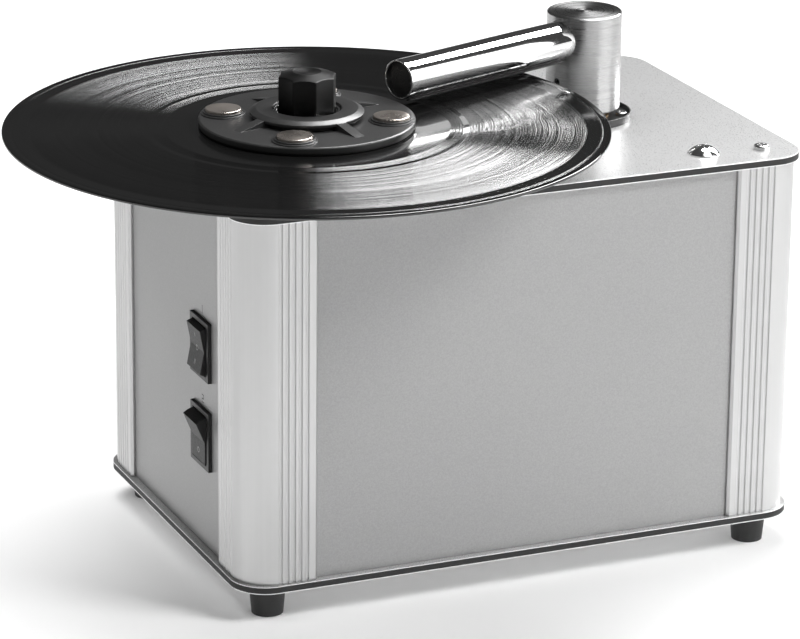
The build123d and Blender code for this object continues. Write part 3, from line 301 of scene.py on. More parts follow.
@dataclass(frozen=True)
class LayeredSheet:
    """Laminated plate: bright blasted skins with a dark core between them.

    The core shows on the edge only, where the height is more than a skin inside both faces.
    """

    name: str
    low: float
    high: float
    skin: float = 0.45 * MM
    colour: tuple = grey(0.82)
    core: tuple = grey(0.022)

    def material(self) -> Material:
        """Build the material.

        Returns:
            The material.
        """
        skin = Sparkle(self.name, self.colour, 0.3, 0.75, 1500.0, depth=0.02 * MM, spread=0.07)
        g = skin.graph()
        z = g.height()
        over = g.math("GREATER_THAN", z, self.low + self.skin)
        under = g.math("LESS_THAN", z, self.high - self.skin)
        inside = g.math("MULTIPLY", over, under)
        sawn = g.add("Bump", Height=g.noise(1800, 3.0), Distance=0.15 * MM, Strength=0.6).outputs[0]
        core = g.add("BsdfPrincipled", Base_Color=self.core, Roughness=0.62, Normal=sawn)
        mix = g.add("MixShader", i0=inside, i1=g.shader.outputs[0], i2=core.outputs[0])
        g.link(mix.outputs[0], g.output.inputs["Surface"])
        return g.material


@dataclass(frozen=True)
class Drawn:
    """Extruded metal with faint streaks along one axis.

    The streaks are noise stretched far along that axis, in both the roughness and the surface.
    """

    name: str
    colour: tuple
    stretch: tuple = (900.0, 900.0, 6.0)
    roughness: float = 0.3
    metallic: float = 1.0
    edge: float = 0.25 * MM

    def material(self) -> Material:
        """Build the material.

        Returns:
            The material.
        """
        g = Graph(self.name)
        streak = g.noise(1.0, 3.0, g.placed((0, 0, 0), self.stretch))
        cloud = g.noise(30.0, 2.0)
        colour = g.blend(g.span(streak, *NOISE), shaded(self.colour, 0.97), self.colour)
        g.set(Base_Color=colour, Metallic=self.metallic)
        mixed = g.math("ADD", g.math("MULTIPLY", streak, 0.7), g.math("MULTIPLY", cloud, 0.3))
        g.set(Roughness=g.span(mixed, *NOISE, self.roughness - 0.02, self.roughness + 0.02))
        g.bump(streak, 0.006 * MM, 0.2, self.edge)
        return g.material


@dataclass(frozen=True)
class Turned:
    """Metal turned on a lathe about an upright axis.

    Rings run round the axis: on a face they follow the radius and on a side they follow the height.
    The gloss is stretched across the rings.
    """

    name: str
    x: float
    y: float
    colour: tuple
    roughness: float
    anisotropy: float = 0.75
    ring: float = 4200.0
    depth: float = 0.02 * MM
    edge: float = 0.25 * MM

    def material(self) -> Material:
        """Build the material.

        Returns:
            The material.
        """
        g = Graph(self.name)
        place = g.math("ADD", g.radius(self.x, self.y), g.math("MULTIPLY", g.height(), 0.83))
        fine = g.lines(place, self.ring, 3.0)
        broad = g.lines(place, self.ring / 9, 1.0)
        rings = g.math("ADD", g.math("MULTIPLY", fine, 0.6), g.math("MULTIPLY", broad, 0.4))
        colour = g.blend(g.span(rings, 0.35, 0.65), shaded(self.colour, 0.86), self.colour)
        g.set(Base_Color=colour, Metallic=1.0, Tangent=g.around(self.x, self.y))
        g.set(Anisotropic=self.anisotropy, Anisotropic_Rotation=0.25)
        g.set(Roughness=g.span(rings, *NOISE, self.roughness - 0.05, self.roughness + 0.05))
        g.bump(rings, self.depth, 0.5, self.edge)
        return g.material


@dataclass(frozen=True)
class Plated:
    """Polished plating, with a trace of smears in its gloss."""

    name: str
    colour: tuple
    roughness: float
    smear: float = 0.03
    edge: float = 0.2 * MM

    def material(self) -> Material:
        """Build the material.

        Returns:
            The material.
        """
        g = Graph(self.name)
        cloud = g.noise(60.0, 4.0)
        g.set(Base_Color=self.colour, Metallic=1.0)
        g.set(Roughness=g.span(cloud, 0.35, 0.75, self.roughness, self.roughness + self.smear))
        g.bump(g.noise(400.0, 2.0), 0.004 * MM, 0.3, self.edge)
        return g.material


@dataclass(frozen=True)
class Moulded:
    """Moulded plastic, rubber or paint with a spark-eroded grain and slightly uneven colour."""

    name: str
    colour: tuple
    roughness: float = 0.5
    grain: float = 2200.0
    depth: float = 0.03 * MM
    edge: float = 0.35 * MM
    coat: float = 0.0
    marks: tuple = ()

    def material(self) -> Material:
        """Build the material.

        Returns:
            The material.
        """
        g = Graph(self.name)
        grain = g.noise(self.grain, 3.0)
        cloud = g.noise(45.0, 3.0)
        low, high = shaded(self.colour, 0.8), shaded(self.colour, 1.15)
        skin = g.blend(g.span(cloud, *NOISE), low, high)
        g.set(Base_Color=g.inked(skin, self.marks, grey(0.3)))
        g.set(Roughness=g.span(grain, *NOISE, self.roughness - 0.06, self.roughness + 0.08))
        g.set(Coat_Weight=self.coat)
        g.bump(grain, self.depth, 0.6, self.edge)
        return g.material


@dataclass(frozen=True)
class Vinyl:
    """Pressed record: concentric grooves between smooth bands.

    Every groove gets a random number from -1 to 1. Near 0 it is a flat land; past that the normal
    leans in or out along the radius by a least slope and a random share, so light is spread along
    the radius only. Broad rings change the slope's reach, and a slow drift turns it a little off
    the radius.
    """

    name: str
    x: float
    y: float
    inner: float
    outer: float
    colour: tuple = grey(0.006)
    pitch: float = 0.11 * MM
    land: float = 0.25
    least: float = 0.35
    slope: float = 0.34
    drift: float = 0.02
    fade: float = 0.6 * MM

    def material(self) -> Material:
        """Build the material.

        Returns:
            The material.
        """
        g = Graph(self.name)
        r = g.radius(self.x, self.y)
        grooved = self.grooved(g, r)
        g.set(Normal=self.leaning(g, self.lean(g, r, grooved), r))
        g.set(Base_Color=self.colour, Specular_IOR_Level=0.8)
        g.set(Anisotropic=1.0, Tangent=g.around(self.x, self.y), Anisotropic_Rotation=0.25)
        g.set(Roughness=g.math("ADD", g.math("MULTIPLY", grooved, 0.1), 0.09))
        return g.material

    def grooved(self, g: Graph, r: Socket) -> Socket:
        """Share of groove at a radius: 0 off the cut zone and on the gaps between tracks.

        Args:
            g: the material's node tree.
            r: the radius.

        Returns:
            The share, from 0 to 1.
        """
        rise = g.span(r, self.inner, self.inner + self.fade)
        fall = g.span(r, self.outer, self.outer + self.fade, 1.0, 0.0)
        gaps = g.span(g.lines(r, 95.0, 0.0), 0.68, 0.7, 1.0, 0.0)
        return g.math("MULTIPLY", g.math("MULTIPLY", rise, fall), gaps)

    def lean(self, g: Graph, r: Socket, grooved: Socket) -> Socket:
        """Slope of the groove's wall at a radius, outward above 0.

        Args:
            g: the material's node tree.
            r: the radius.
            grooved: the share of groove there.

        Returns:
            The slope.
        """
        step = g.math("FLOOR", g.math("DIVIDE", r, self.pitch))
        chance = g.add("TexWhiteNoise", {"noise_dimensions": "1D"}, W=step).outputs[0]
        swing = g.math("SUBTRACT", g.math("MULTIPLY", chance, 2.0), 1.0)
        wall = g.math("MULTIPLY", g.math("SIGN", swing), self.least)
        steep = g.math("ADD", g.math("MULTIPLY", swing, self.slope), wall)
        sided = g.math("GREATER_THAN", g.math("ABSOLUTE", swing), self.land)
        bands = g.span(g.lines(r, 240.0, 4.0), *NOISE, 0.8, 1.0)
        reach = g.math("MULTIPLY", bands, grooved)
        return g.math("MULTIPLY", g.math("MULTIPLY", steep, sided), reach)

    def leaning(self, g: Graph, lean: Socket, r: Socket) -> Socket:
        """Surface normal, tipped along the radius by a slope.

        Args:
            g: the material's node tree.
            lean: the slope.
            r: the radius, along which the drift changes.

        Returns:
            The tipped normal, of length 1.
        """
        out = g.vector("NORMALIZE", i0=g.from_axis(self.x, self.y))
        aside = g.vector("CROSS_PRODUCT", i0=(0, 0, 1), i1=out)
        wander = g.math("ADD", g.lines(r, 700.0, 3.0), g.math("MULTIPLY", g.noise(7.0, 1.0), 0.25))
        turn = g.math("MULTIPLY", g.math("SUBTRACT", wander, 0.625), self.drift)
        way = g.vector("ADD", i0=out, i1=g.vector("SCALE", i0=aside, Scale=turn))
        tip = g.vector("SCALE", i0=way, Scale=lean)
        tip = g.add("VectorTransform", {"vector_type": "VECTOR"}, Vector=tip).outputs[0]
        normal = g.add("NewGeometry").outputs["Normal"]
        return g.vector("NORMALIZE", i0=g.vector("ADD", i0=normal, i1=tip))


@dataclass(frozen=True)
class Velvet:
    """Short dark pile: a soft shine at grazing angles over a fine tufted height."""

    name: str
    colour: tuple = (0.012, 0.01, 0.011, 1.0)

    def material(self) -> Material:
        """Build the material.

        Returns:
            The material.
        """
        g = Graph(self.name)
        tuft = g.noise(5200.0, 2.0)
        nap = g.noise(260.0, 3.0)
        dark = shaded(self.colour, 0.5)
        g.set(Base_Color=g.blend(g.span(nap, *NOISE), dark, self.colour), Roughness=0.95)
        g.set(Sheen_Weight=0.5, Sheen_Roughness=0.4)
        g.bump(g.math("ADD", tuft, nap), 0.2 * MM, 0.8)
        return g.material


# ---------------------------------------------------------------- meshes
def shape(name: str, points: Array, faces: list, angle: float = 35.0) -> Piece:
    """Make a mesh object with outward normals and smooth faces between sharp edges.

    Args:
        name: the piece's name.
        points: vertices, n by 3, in metres.
        faces: vertex numbers of each face.
        angle: an edge sharper than this many degrees stays sharp.

    Returns:
        The linked object.
    """
    mesh = bpy.data.meshes.new(name)
    mesh.from_pydata(points.tolist(), [], [list(map(int, face)) for face in faces])
    work = bmesh.new()
    work.from_mesh(mesh)
    bmesh.ops.recalc_face_normals(work, faces=work.faces)
    work.to_mesh(mesh)
    work.free()
    mesh.polygons.foreach_set("use_smooth", np.ones(len(mesh.polygons), bool))
    mesh.set_sharp_from_angle(angle=math.radians(angle))
    piece = bpy.data.objects.new(name, mesh)
    bpy.context.scene.collection.objects.link(piece)
    return piece


def quads(rows: int, columns: int, wrap_rows: bool, wrap_columns: bool) -> Array:
    """Faces of a grid of vertices: each joins a vertex to the next ones across, down and aslant.

    Args:
        rows: rows of vertices.
        columns: vertices in each row.
        wrap_rows: whether the last row joins the first.
        wrap_columns: whether each row's end joins its start.

    Returns:
        Vertex numbers, four to a face.
    """
    down_to = rows if wrap_rows else rows - 1
    across_to = columns if wrap_columns else columns - 1
    i, j = np.meshgrid(np.arange(down_to), np.arange(across_to), indexing="ij")
    down, right = (i + 1) % rows, (j + 1) % columns
    corners = [i * columns + j, i * columns + right, down * columns + right, down * columns + j]
    return np.stack([c.ravel() for c in corners], axis=1)


def turned(
    name: str, profile: list, x: float, y: float, steps: int = 128, angle: float = 35.0
) -> Piece:
    """Surface of revolution: each profile point sweeps a circle about the axis through x and y.

    Args:
        name: the piece's name.
        profile: (radius, height) points in metres; a first or last radius of 0 closes in a pole,
            and otherwise the profile is a closed loop.
        x: axis position.
        y: axis position.
        steps: points round each circle.
        angle: an edge sharper than this many degrees stays sharp.

    Returns:
        The linked object.
    """
    line = np.array(profile, float)
    poles = [line[k] for k in (0, -1) if line[k, 0] == 0]
    rows = line[line[:, 0] > 0]
    turn = np.linspace(0, 2 * math.pi, steps, endpoint=False)
    px = x + rows[:, :1] * np.cos(turn)
    py = y + rows[:, :1] * np.sin(turn)
    pz = np.repeat(rows[:, 1:], steps, axis=1)
    points = np.stack([px, py, pz], axis=2).reshape(-1, 3)
    faces = quads(len(rows), steps, not poles, True).tolist()
    ring = np.arange(steps)
    for pole in poles:
        tip = len(points)
        base = 0 if pole is poles[0] and line[0, 0] == 0 else (len(rows) - 1) * steps
        points = np.vstack([points, [x, y, pole[1]]])
        corners = [base + ring, base + (ring + 1) % steps, np.full(steps, tip)]
        faces += np.stack(corners, axis=1).tolist()
    return shape(name, points, faces, angle)


def rounded_profile(corners: list, radius: float, steps: int = 4) -> list:
    """Round the corners of a (radius, height) line by arcs.

    Each corner is replaced by a quadratic curve from a point before it to a point after it, each at
    the given distance or at 0.45 of the shorter run.

    Args:
        corners: the line's points; the first and last stay where they are.
        radius: rounding distance in metres.
        steps: points on each arc.

    Returns:
        The rounded line.
    """
    line = np.array(corners, float)
    out = [tuple(line[0])]
    for before, corner, after in zip(line[:-2], line[1:-1], line[2:]):
        run_in = np.linalg.norm(corner - before)
        run_out = np.linalg.norm(after - corner)
        reach = min(radius, 0.45 * run_in, 0.45 * run_out)
        start = corner + (before - corner) * reach / run_in
        end = corner + (after - corner) * reach / run_out
        t = np.linspace(0, 1, steps + 1)[:, None]
        out += [tuple(p) for p in (1 - t) ** 2 * start + 2 * t * (1 - t) * corner + t ** 2 * end]
    out.append(tuple(line[-1]))
    return out


def bevel(piece: Piece, width: float, segments: int = 3) -> None:
    """Add a bevel on a piece's sharp edges.

    Args:
        piece: the object.
        width: the bevel's width in metres.
        segments: its steps.
    """
    modifier = piece.modifiers.new("edge", "BEVEL")
    modifier.width = width
    modifier.segments = segments
    modifier.limit_method = "ANGLE"
    modifier.angle_limit = math.radians(32)
    modifier.harden_normals = False


def dress(node: str, material: Material) -> None:
    """Give a node of the construction its finish.

    Args:
        node: the node's name.
        material: its finish.
    """
    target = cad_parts[node]
    if not target.material_slots:
        target.data.materials.append(material)
    for slot in target.material_slots:
        slot.material = material


def finish_piece(piece: Piece, body: Body, slot: str, material: Material, *replaced: str) -> None:
    """Give a new piece its finish and its body, and hide the nodes that it stands for.

    Args:
        piece: the object.
        body: the body it rides on.
        slot: not used.
        material: its finish.
        replaced: nodes of the construction that it replaces.
    """
    piece.data.materials.clear()
    piece.data.materials.append(material)
    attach(piece, body.value)
    if replaced:
        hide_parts(*replaced)
    LOG.info("piece %s rides on %s", piece.name, body.value)


def middle(node: str) -> Vector:
    """Middle of a node's box."""
    low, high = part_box(node)
    return (low + high) / 2


def joined(name: str, parts: list) -> Piece:
    """Join several closed shells into one piece and remove the separate ones.

    Args:
        name: the new piece's name.
        parts: the shells.

    Returns:
        The joined piece.
    """
    mesh = bpy.data.meshes.new(name)
    work = bmesh.new()
    for part in parts:
        work.from_mesh(part.data)
        bpy.data.objects.remove(part)
    work.to_mesh(mesh)
    work.free()
    piece = bpy.data.objects.new(name, mesh)
    bpy.context.scene.collection.objects.link(piece)
    return piece


def loft(name: str, rings: Array, angle: float = 35.0) -> Piece:
    """Skin over closed rings of points, with a flat cap on the first and the last.

    Args:
        name: the piece's name.
        rings: rings by points by 3, in metres.
        angle: an edge sharper than this many degrees stays sharp.

    Returns:
        The linked object.
    """
    rows, columns = rings.shape[:2]
    faces = quads(rows, columns, False, True).tolist()
    faces += [list(range(columns)), list(range((rows - 1) * columns, rows * columns))]
    return shape(name, rings.reshape(-1, 3), faces, angle)


# ---------------------------------------------------------------- sub-assemblies
# Bars of the numerals in millimetres from their middle: across, up, half width, half height.
NUMERALS = {
    "motor_switch_housing": ((0.0, 0.0, 0.3, 2.3),),
    "vacuum_switch_housing": (
        (0.0, 2.0, 1.4, 0.3),
        (0.0, 0.0, 1.4, 0.3),
        (0.0, -2.0, 1.4, 0.3),
        (-1.1, 1.0, 0.3, 1.2),
        (1.1, -1.0, 0.3, 1.2),
    ),
}
CORNERS = ("front_left", "front_right", "rear_left", "rear_right")


@dataclass(frozen=True)
class Housing:
    """Layered plates, grooved corner posts, blasted panels, feet and their screws.

    The numerals stand a little over the switches' housings.
    """

    panel: float = 0.38
    numeral: float = 4.2 * MM

    def numerals(self) -> tuple:
        """Work out the bars of a plain 1 and 2, printed over the two switches.

        Returns:
            The bars as (y, z, half width, half height).
        """
        marks = []
        for node, bars in NUMERALS.items():
            low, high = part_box(node)
            y, z = (low.y + high.y) / 2, high.z + self.numeral
            marks += [(y + a * MM, z + b * MM, c * MM, d * MM) for a, b, c, d in bars]
        return tuple(marks)

    def dress(self) -> None:
        """Give every node of the housing its finish."""
        for node in ("base_plate", "top_plate"):
            low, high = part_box(node)
            dress(node, LayeredSheet("skinned_" + node, low.z, high.z).material())
        post = Drawn("extruded_post", grey(0.53), (500.0, 500.0, 4.0), 0.34, 0.85).material()
        foot = Moulded("foot_rubber", grey(0.02), roughness=0.6).material()
        for corner in CORNERS:
            dress("post_" + corner, post)
            dress("foot_" + corner, foot)
        panel = Sparkle("blasted_panel", grey(self.panel), 0.44, 0.4, 1300.0, spread=0.32)
        for node in ("front_panel", "rear_panel", "right_panel"):
            dress(node, panel.material())
        dress("left_panel", replace(panel, name="marked_panel", marks=self.numerals()).material())
        screw = Plated("zinc_screw", grey(0.68), roughness=0.18, smear=0.12).material()
        for node in ("foot_screws", "m4_screws", "m3_screws"):
            dress(node, screw)
        dress("strap_screws", Plated("polished_dome", grey(0.82), roughness=0.12).material())
        dress("tank_strap", Drawn("strap_sheet", grey(0.62), (6.0, 900.0, 900.0), 0.36).material())
        LOG.info("housing dressed")


@dataclass(frozen=True)
class Workings:
    """Drive, waste tank, vacuum motor, hose and electrical parts inside the housing."""

    def dress(self) -> None:
        """Give every inner node its finish."""
        finishes = {
            Sparkle("cast_zinc", grey(0.42), 0.5, 0.85, depth=0.12 * MM): ("gearbox",),
            Plated("motor_can", grey(0.55), 0.22, 0.14): ("gearmotor_can", "vacuum_motor"),
            Moulded("black_moulding", grey(0.018)): ("fan_housing", "motor_cup", "mains_inlet"),
            Moulded("tank_polythene", (0.72, 0.74, 0.72, 1.0), 0.42, depth=0.02 * MM): (
                "waste_tank",
                "tank_lid",
            ),
            Moulded("black_rubber", grey(0.014), 0.68): (
                "tank_gasket",
                "suction_hose",
                "drain_plug",
                "sleeve_seal",
            ),
            Plated("tinned_blade", (0.74, 0.72, 0.66, 1.0), 0.2, 0.1): ("switch_terminals",),
            Moulded("natural_nylon", (0.62, 0.6, 0.54, 1.0), 0.45): (
                "fan_impeller",
                "board_standoffs",
            ),
            Moulded("green_board", (0.012, 0.11, 0.035, 1.0), 0.32, 300.0, coat=0.4): (
                "power_board",
            ),
            Moulded("capacitor_sleeve", (0.02, 0.03, 0.09, 1.0), 0.25): ("motor_capacitor",),
        }
        for finish, nodes in finishes.items():
            material = finish.material()
            for node in nodes:
                dress(node, material)
        LOG.info("workings dressed")


@dataclass(frozen=True)
class Turntable:
    """Platter with its mat, magnets, shaft and spindle, and the record on it."""

    hole: float = 3.7 * MM
    edge: float = 0.8 * MM
    rounding: float = 0.5 * MM
    rim: float = 4.2 * MM
    rim_slope: float = 1.2 * MM
    sunk: float = 0.22 * MM
    raised: float = 54.0 * MM
    raised_slope: float = 2.0 * MM
    grooves: float = 71.0 * MM

    def build(self) -> None:
        """Build the record and dress the rest."""
        centre = middle("record")
        low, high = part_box("record")
        self.record(centre, (high.x - low.x) / 2, low.z, high.z)
        finishes = {
            "output_shaft": Turned("ground_shaft", centre.x, centre.y, grey(0.6), 0.2),
            "spindle": Turned("ground_spindle", centre.x, centre.y, grey(0.7), 0.15),
            "platter": Turned("turned_platter", centre.x, centre.y, grey(0.7), 0.3),
            "platter_mat": Moulded("mat_rubber", grey(0.02), 0.75),
            "platter_magnets": Plated("magnet_plating", (0.62, 0.58, 0.53, 1.0), 0.2, 0.1),
        }
        for node, finish in finishes.items():
            dress(node, finish.material())
        LOG.info("turntable built")

    def record(self, centre: Vector, radius: float, low: float, high: float) -> None:
        """Pressed disc: a profile with a raised rim, a sunk zone and a raised middle, turned.

        Args:
            centre: middle of the record.
            radius: outer radius.
            low: height of its underside.
            high: height of its rim.
        """
        mid, sunk = (low + high) / 2, high - self.sunk
        top = [(self.hole, high), (self.raised, high), (self.raised + self.raised_slope, sunk)]
        top += [(radius - self.rim, sunk), (radius - self.rim + self.rim_slope, high)]
        side = [(radius - self.edge, high), (radius - 0.25 * self.edge, high - 0.3 * self.edge)]
        side += [(radius, mid)]
        below = [(r, low + high - z) for r, z in reversed(top + side[:-1])]
        line = rounded_profile(top + side + below, self.rounding, 3)
        piece = turned("record_disc", line, centre.x, centre.y, 256, 40)
        vinyl = Vinyl("black_vinyl", centre.x, centre.y, self.grooves, radius - self.rim)
        finish_piece(piece, Body.PLATTER, "vinyl", vinyl.material(), "record")


@dataclass(frozen=True)
class Clamp:
    """Moulded clamping disc with a bevelled ring, magnets on bosses, wedge ribs and a fluted knob.

    Heights are over the record, angles are in degrees from +X. Each method turns its profile about
    the record's axis, or lofts it there.
    """

    outer: float = 53.9 * MM
    seal: float = 1.2 * MM
    top: float = 4.5 * MM
    edge: float = 0.7 * MM
    neck: float = 25.6 * MM
    ring: float = 28.4 * MM
    ring_under: float = 6.6 * MM
    ring_edge: float = 8.0 * MM
    ring_top: float = 9.6 * MM
    ring_bevel: float = 3.0 * MM
    hole: float = 17.2 * MM
    recess: float = 3.4 * MM
    rounding: float = 0.3 * MM
    collar_inner: float = 15.34 * MM
    collar_outer: float = 16.5 * MM
    collar_top: float = 8.7 * MM
    bore: float = 8.05 * MM
    spots: int = 4
    first: float = 60.0
    magnet_ring: float = 42.0 * MM
    magnet: float = 9.0 * MM
    magnet_gap: float = 0.1 * MM
    magnet_top: float = 7.4 * MM
    magnet_rounding: float = 0.45 * MM
    boss: float = 11.2 * MM
    boss_sink: float = 0.9 * MM
    boss_step: float = 5.2 * MM
    boss_rounding: float = 0.2 * MM
    seat: float = 10.2 * MM
    seat_top: float = 6.1 * MM
    rib_width: float = 5.6 * MM
    rib_start: float = 24.6 * MM
    rib_crest: float = 27.8 * MM
    rib_tip: float = 42.6 * MM
    rib_end: float = 43.0 * MM
    rib_tip_height: float = 4.55 * MM
    rib_foot: float = 4.1 * MM
    lip: float = 4.0 * MM
    lip_inner: float = 1.2 * MM
    lip_outer: float = 1.0 * MM
    lip_edge: float = 0.3 * MM
    lip_rounding: float = 0.25 * MM
    knob: float = 14.84 * MM
    knob_foot: float = 5.02 * MM
    knob_top: float = 27.98 * MM
    knob_fall: float = 2.1 * MM
    knob_turn: float = 18.0
    soft: float = 0.25 * MM
    dish: float = 7.0 * MM
    dish_depth: float = 0.7 * MM
    flute: float = 30.0 * MM
    flute_depth: float = 0.5 * MM
    sides: int = 8

    def build(self) -> None:
        """Build the disc, the seal, the magnets, the knob and its collar, and dress the bush."""
        centre = middle("record")
        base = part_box("record")[1].z
        self.disc(centre, base)
        self.magnets(centre, base)
        self.seal_ring(centre)
        self.knob_piece(centre, base)
        chrome = Plated("chromed_bush", grey(0.8), 0.07).material()
        dress("clamp_bush", chrome)
        self.collar(centre, base, chrome)
        LOG.info("clamp built")

    def collar(self, centre: Vector, base: float, material: Material) -> None:
        """Thin bright collar in the ring's recess, round the foot of the knob: a turned rectangle.

        Args:
            centre: middle of the record.
            base: height of the record's top.
            material: the collar's finish.
        """
        inner, outer = self.collar_inner, self.collar_outer
        line = [(inner, self.recess), (outer, self.recess), (outer, self.collar_top)]
        line += [(inner, self.collar_top), (inner, self.recess)]
        line = [(r, base + z) for r, z in rounded_profile(line, self.rounding)[:-1]]
        piece = turned("knob_collar", line, centre.x, centre.y, 96)
        finish_piece(piece, Body.CLAMP, "chrome", material)

    def at_spots(self, name: str, line: list, centre: Vector, base: float) -> list:
        """Turn one profile at each magnet's place.

        Args:
            name: the shells' name.
            line: the profile, with heights over the record.
            centre: middle of the record.
            base: height of the record's top.

        Returns:
            The turned shells.
        """
        lifted = [(r, base + z) for r, z in line]
        parts = []
        for i in range(self.spots):
            turn = math.radians(self.first + 360 / self.spots * i)
            x, y = self.magnet_ring * math.cos(turn), self.magnet_ring * math.sin(turn)
            parts.append(turned(name, lifted, centre.x + x, centre.y + y, 72))
        return parts

    def disc(self, centre: Vector, base: float) -> None:
        """Disc with its ring, bosses and ribs.

        Args:
            centre: middle of the record.
            base: height of the record's top.
        """
        line = [(self.bore, self.seal), (self.outer, self.seal), (self.outer, self.top - self.edge)]
        line += [(self.outer - self.edge, self.top), (self.neck, self.top)]
        line += [(self.neck, self.ring_under), (self.ring, self.ring_under)]
        line += [(self.ring, self.ring_edge)]
        line += [(self.ring - self.ring_bevel, self.ring_top), (self.hole, self.ring_top)]
        line += [(self.hole, self.recess), (self.bore, self.recess)]
        rounded = rounded_profile(line, self.rounding)
        parts = [turned("disc", [(r, base + z) for r, z in rounded], centre.x, centre.y, 192)]
        foot, well = self.top - self.boss_sink, self.magnet + self.magnet_gap
        boss = [(0, foot), (self.boss, foot), (self.boss, self.boss_step)]
        boss += [(self.seat, self.boss_step), (self.seat, self.seat_top)]
        boss += [(well, self.seat_top), (well, self.boss_step), (0, self.boss_step)]
        parts += self.at_spots("boss", rounded_profile(boss, self.boss_rounding, 3), centre, base)
        for i in range(self.spots):
            turn = math.radians(self.first + 360 / self.spots * (i + 0.5))
            parts.append(self.rib(centre, base, turn))
        piece = joined("clamp_plate", parts)
        bevel(piece, self.boss_rounding, 2)
        moulding = Moulded("grey_moulding", grey(0.022), 0.36, depth=0.015 * MM)
        finish_piece(piece, Body.CLAMP, "black_plastic", moulding.material(), "clamp_disc")

    def rib(self, centre: Vector, base: float, turn: float) -> Piece:
        """Wedge from the ring's edge down to the disc: its side outline, carried across its width.

        Args:
            centre: middle of the record.
            base: height of the record's top.
            turn: its direction in radians.

        Returns:
            The rib.
        """
        line = [(self.rib_start, self.rib_foot), (self.rib_end, self.rib_foot)]
        line += [(self.rib_tip, self.rib_tip_height), (self.rib_crest, self.ring_edge)]
        line += [(self.rib_start, self.ring_edge)]
        out, up = np.array(line).T
        rings = []
        for across in (-0.5 * self.rib_width, 0.5 * self.rib_width):
            x = out * math.cos(turn) - across * math.sin(turn) + centre.x
            y = out * math.sin(turn) + across * math.cos(turn) + centre.y
            rings.append(np.column_stack([x, y, up + base]))
        return loft("rib", np.array(rings), 20)

    def magnets(self, centre: Vector, base: float) -> None:
        """Plated magnets with rounded edges, one on each boss.

        Args:
            centre: middle of the record.
            base: height of the record's top.
        """
        foot = self.boss_step + self.magnet_gap
        line = [(0, foot), (self.magnet, foot), (self.magnet, self.magnet_top)]
        line += [(0, self.magnet_top)]
        parts = self.at_spots("magnet", rounded_profile(line, self.magnet_rounding), centre, base)
        piece = joined("clamp_disc_magnets", parts)
        nickel = Plated("nickel_magnet", (0.6, 0.545, 0.5, 1.0), 0.24, 0.12)
        finish_piece(piece, Body.CLAMP, "magnet", nickel.material(), "clamp_magnets")

    def seal_ring(self, centre: Vector) -> None:
        """Soft sealing lip under the disc, turned in the seal's own box.

        Args:
            centre: middle of the record.
        """
        low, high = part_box("clamp_seal")
        outer = (high.x - low.x) / 2
        inner = outer - self.lip
        line = [(inner, high.z), (inner + self.lip_inner, low.z), (outer - self.lip_outer, low.z)]
        line += [(outer, low.z + self.lip_edge), (outer, high.z)]
        rounded = rounded_profile(line, self.lip_rounding)
        piece = turned("seal_lip", rounded, centre.x, centre.y, 160)
        material = Moulded("seal_rubber", grey(0.01), roughness=0.5).material()
        finish_piece(piece, Body.CLAMP, "black_rubber", material, "clamp_seal")

    def knob_outline(self, turn: Array) -> Array:
        """Radius of the knob at each angle: the nearer of a flat side and its hollow flute.

        Args:
            turn: angles in radians.

        Returns:
            The radius at each.
        """
        sector = 2 * math.pi / self.sides
        off = (turn + sector / 2) % sector - sector / 2
        flat = self.knob * math.cos(sector / 2)
        far = flat + self.flute - self.flute_depth
        hollow = far * np.cos(off) - np.sqrt(self.flute ** 2 - (far * np.sin(off)) ** 2)
        return np.minimum(flat / np.cos(off), hollow)

    def knob_piece(self, centre: Vector, base: float) -> None:
        """Fluted knob whose top is a shallow cone round a dish.

        Each ring's radius is the outline's radius on the side. Where the cone over the top meets
        the outline its height is the top less the cone's slope times the radius past the dish. In
        the dish the height falls by its depth times one less the cube of the share of its radius.

        Args:
            centre: middle of the record.
            base: height of the record's top.
        """
        turn = np.linspace(0, 2 * math.pi, self.sides * 24, endpoint=False)
        side = self.knob_outline(turn)
        level = np.ones_like(side)
        slope = self.knob_fall / (self.knob - self.dish)
        brim, soft = self.knob_top - (side - self.dish) * slope, self.soft
        rows = [(side - soft, self.knob_foot * level), (side, (self.knob_foot + soft) * level)]
        rows += [(side, brim - soft), (side - 0.3 * soft, brim - 0.25 * soft)]
        rows += [(side - 1.1 * soft, brim + 0.35 * soft)]
        for share in np.linspace(0.12, 1, 8):
            radius = side - 1.1 * soft + (self.dish + soft - side) * share
            rows.append((radius, self.knob_top - (radius - self.dish) * slope))
        rows.append((self.dish * level, (self.knob_top - 0.3 * soft) * level))
        for share in np.linspace(0.12, 0.95, 8):
            fall = self.dish_depth * (1 - (1 - share) ** 3)
            rows.append((self.dish * (1 - share) * level, (self.knob_top - fall) * level))
        turn = turn + math.radians(self.knob_turn)
        x, y = np.cos(turn), np.sin(turn)
        rings = [np.column_stack([centre.x + r * x, centre.y + r * y, base + z]) for r, z in rows]
        piece = loft("fluted_knob", np.array(rings), 50)
        finish = Turned("black_knob", centre.x, centre.y, grey(0.03), 0.45, 0.35, 3000, 0.01 * MM)
        finish_piece(piece, Body.CLAMP, "black_anodised", finish.material(), "clamp_knob")


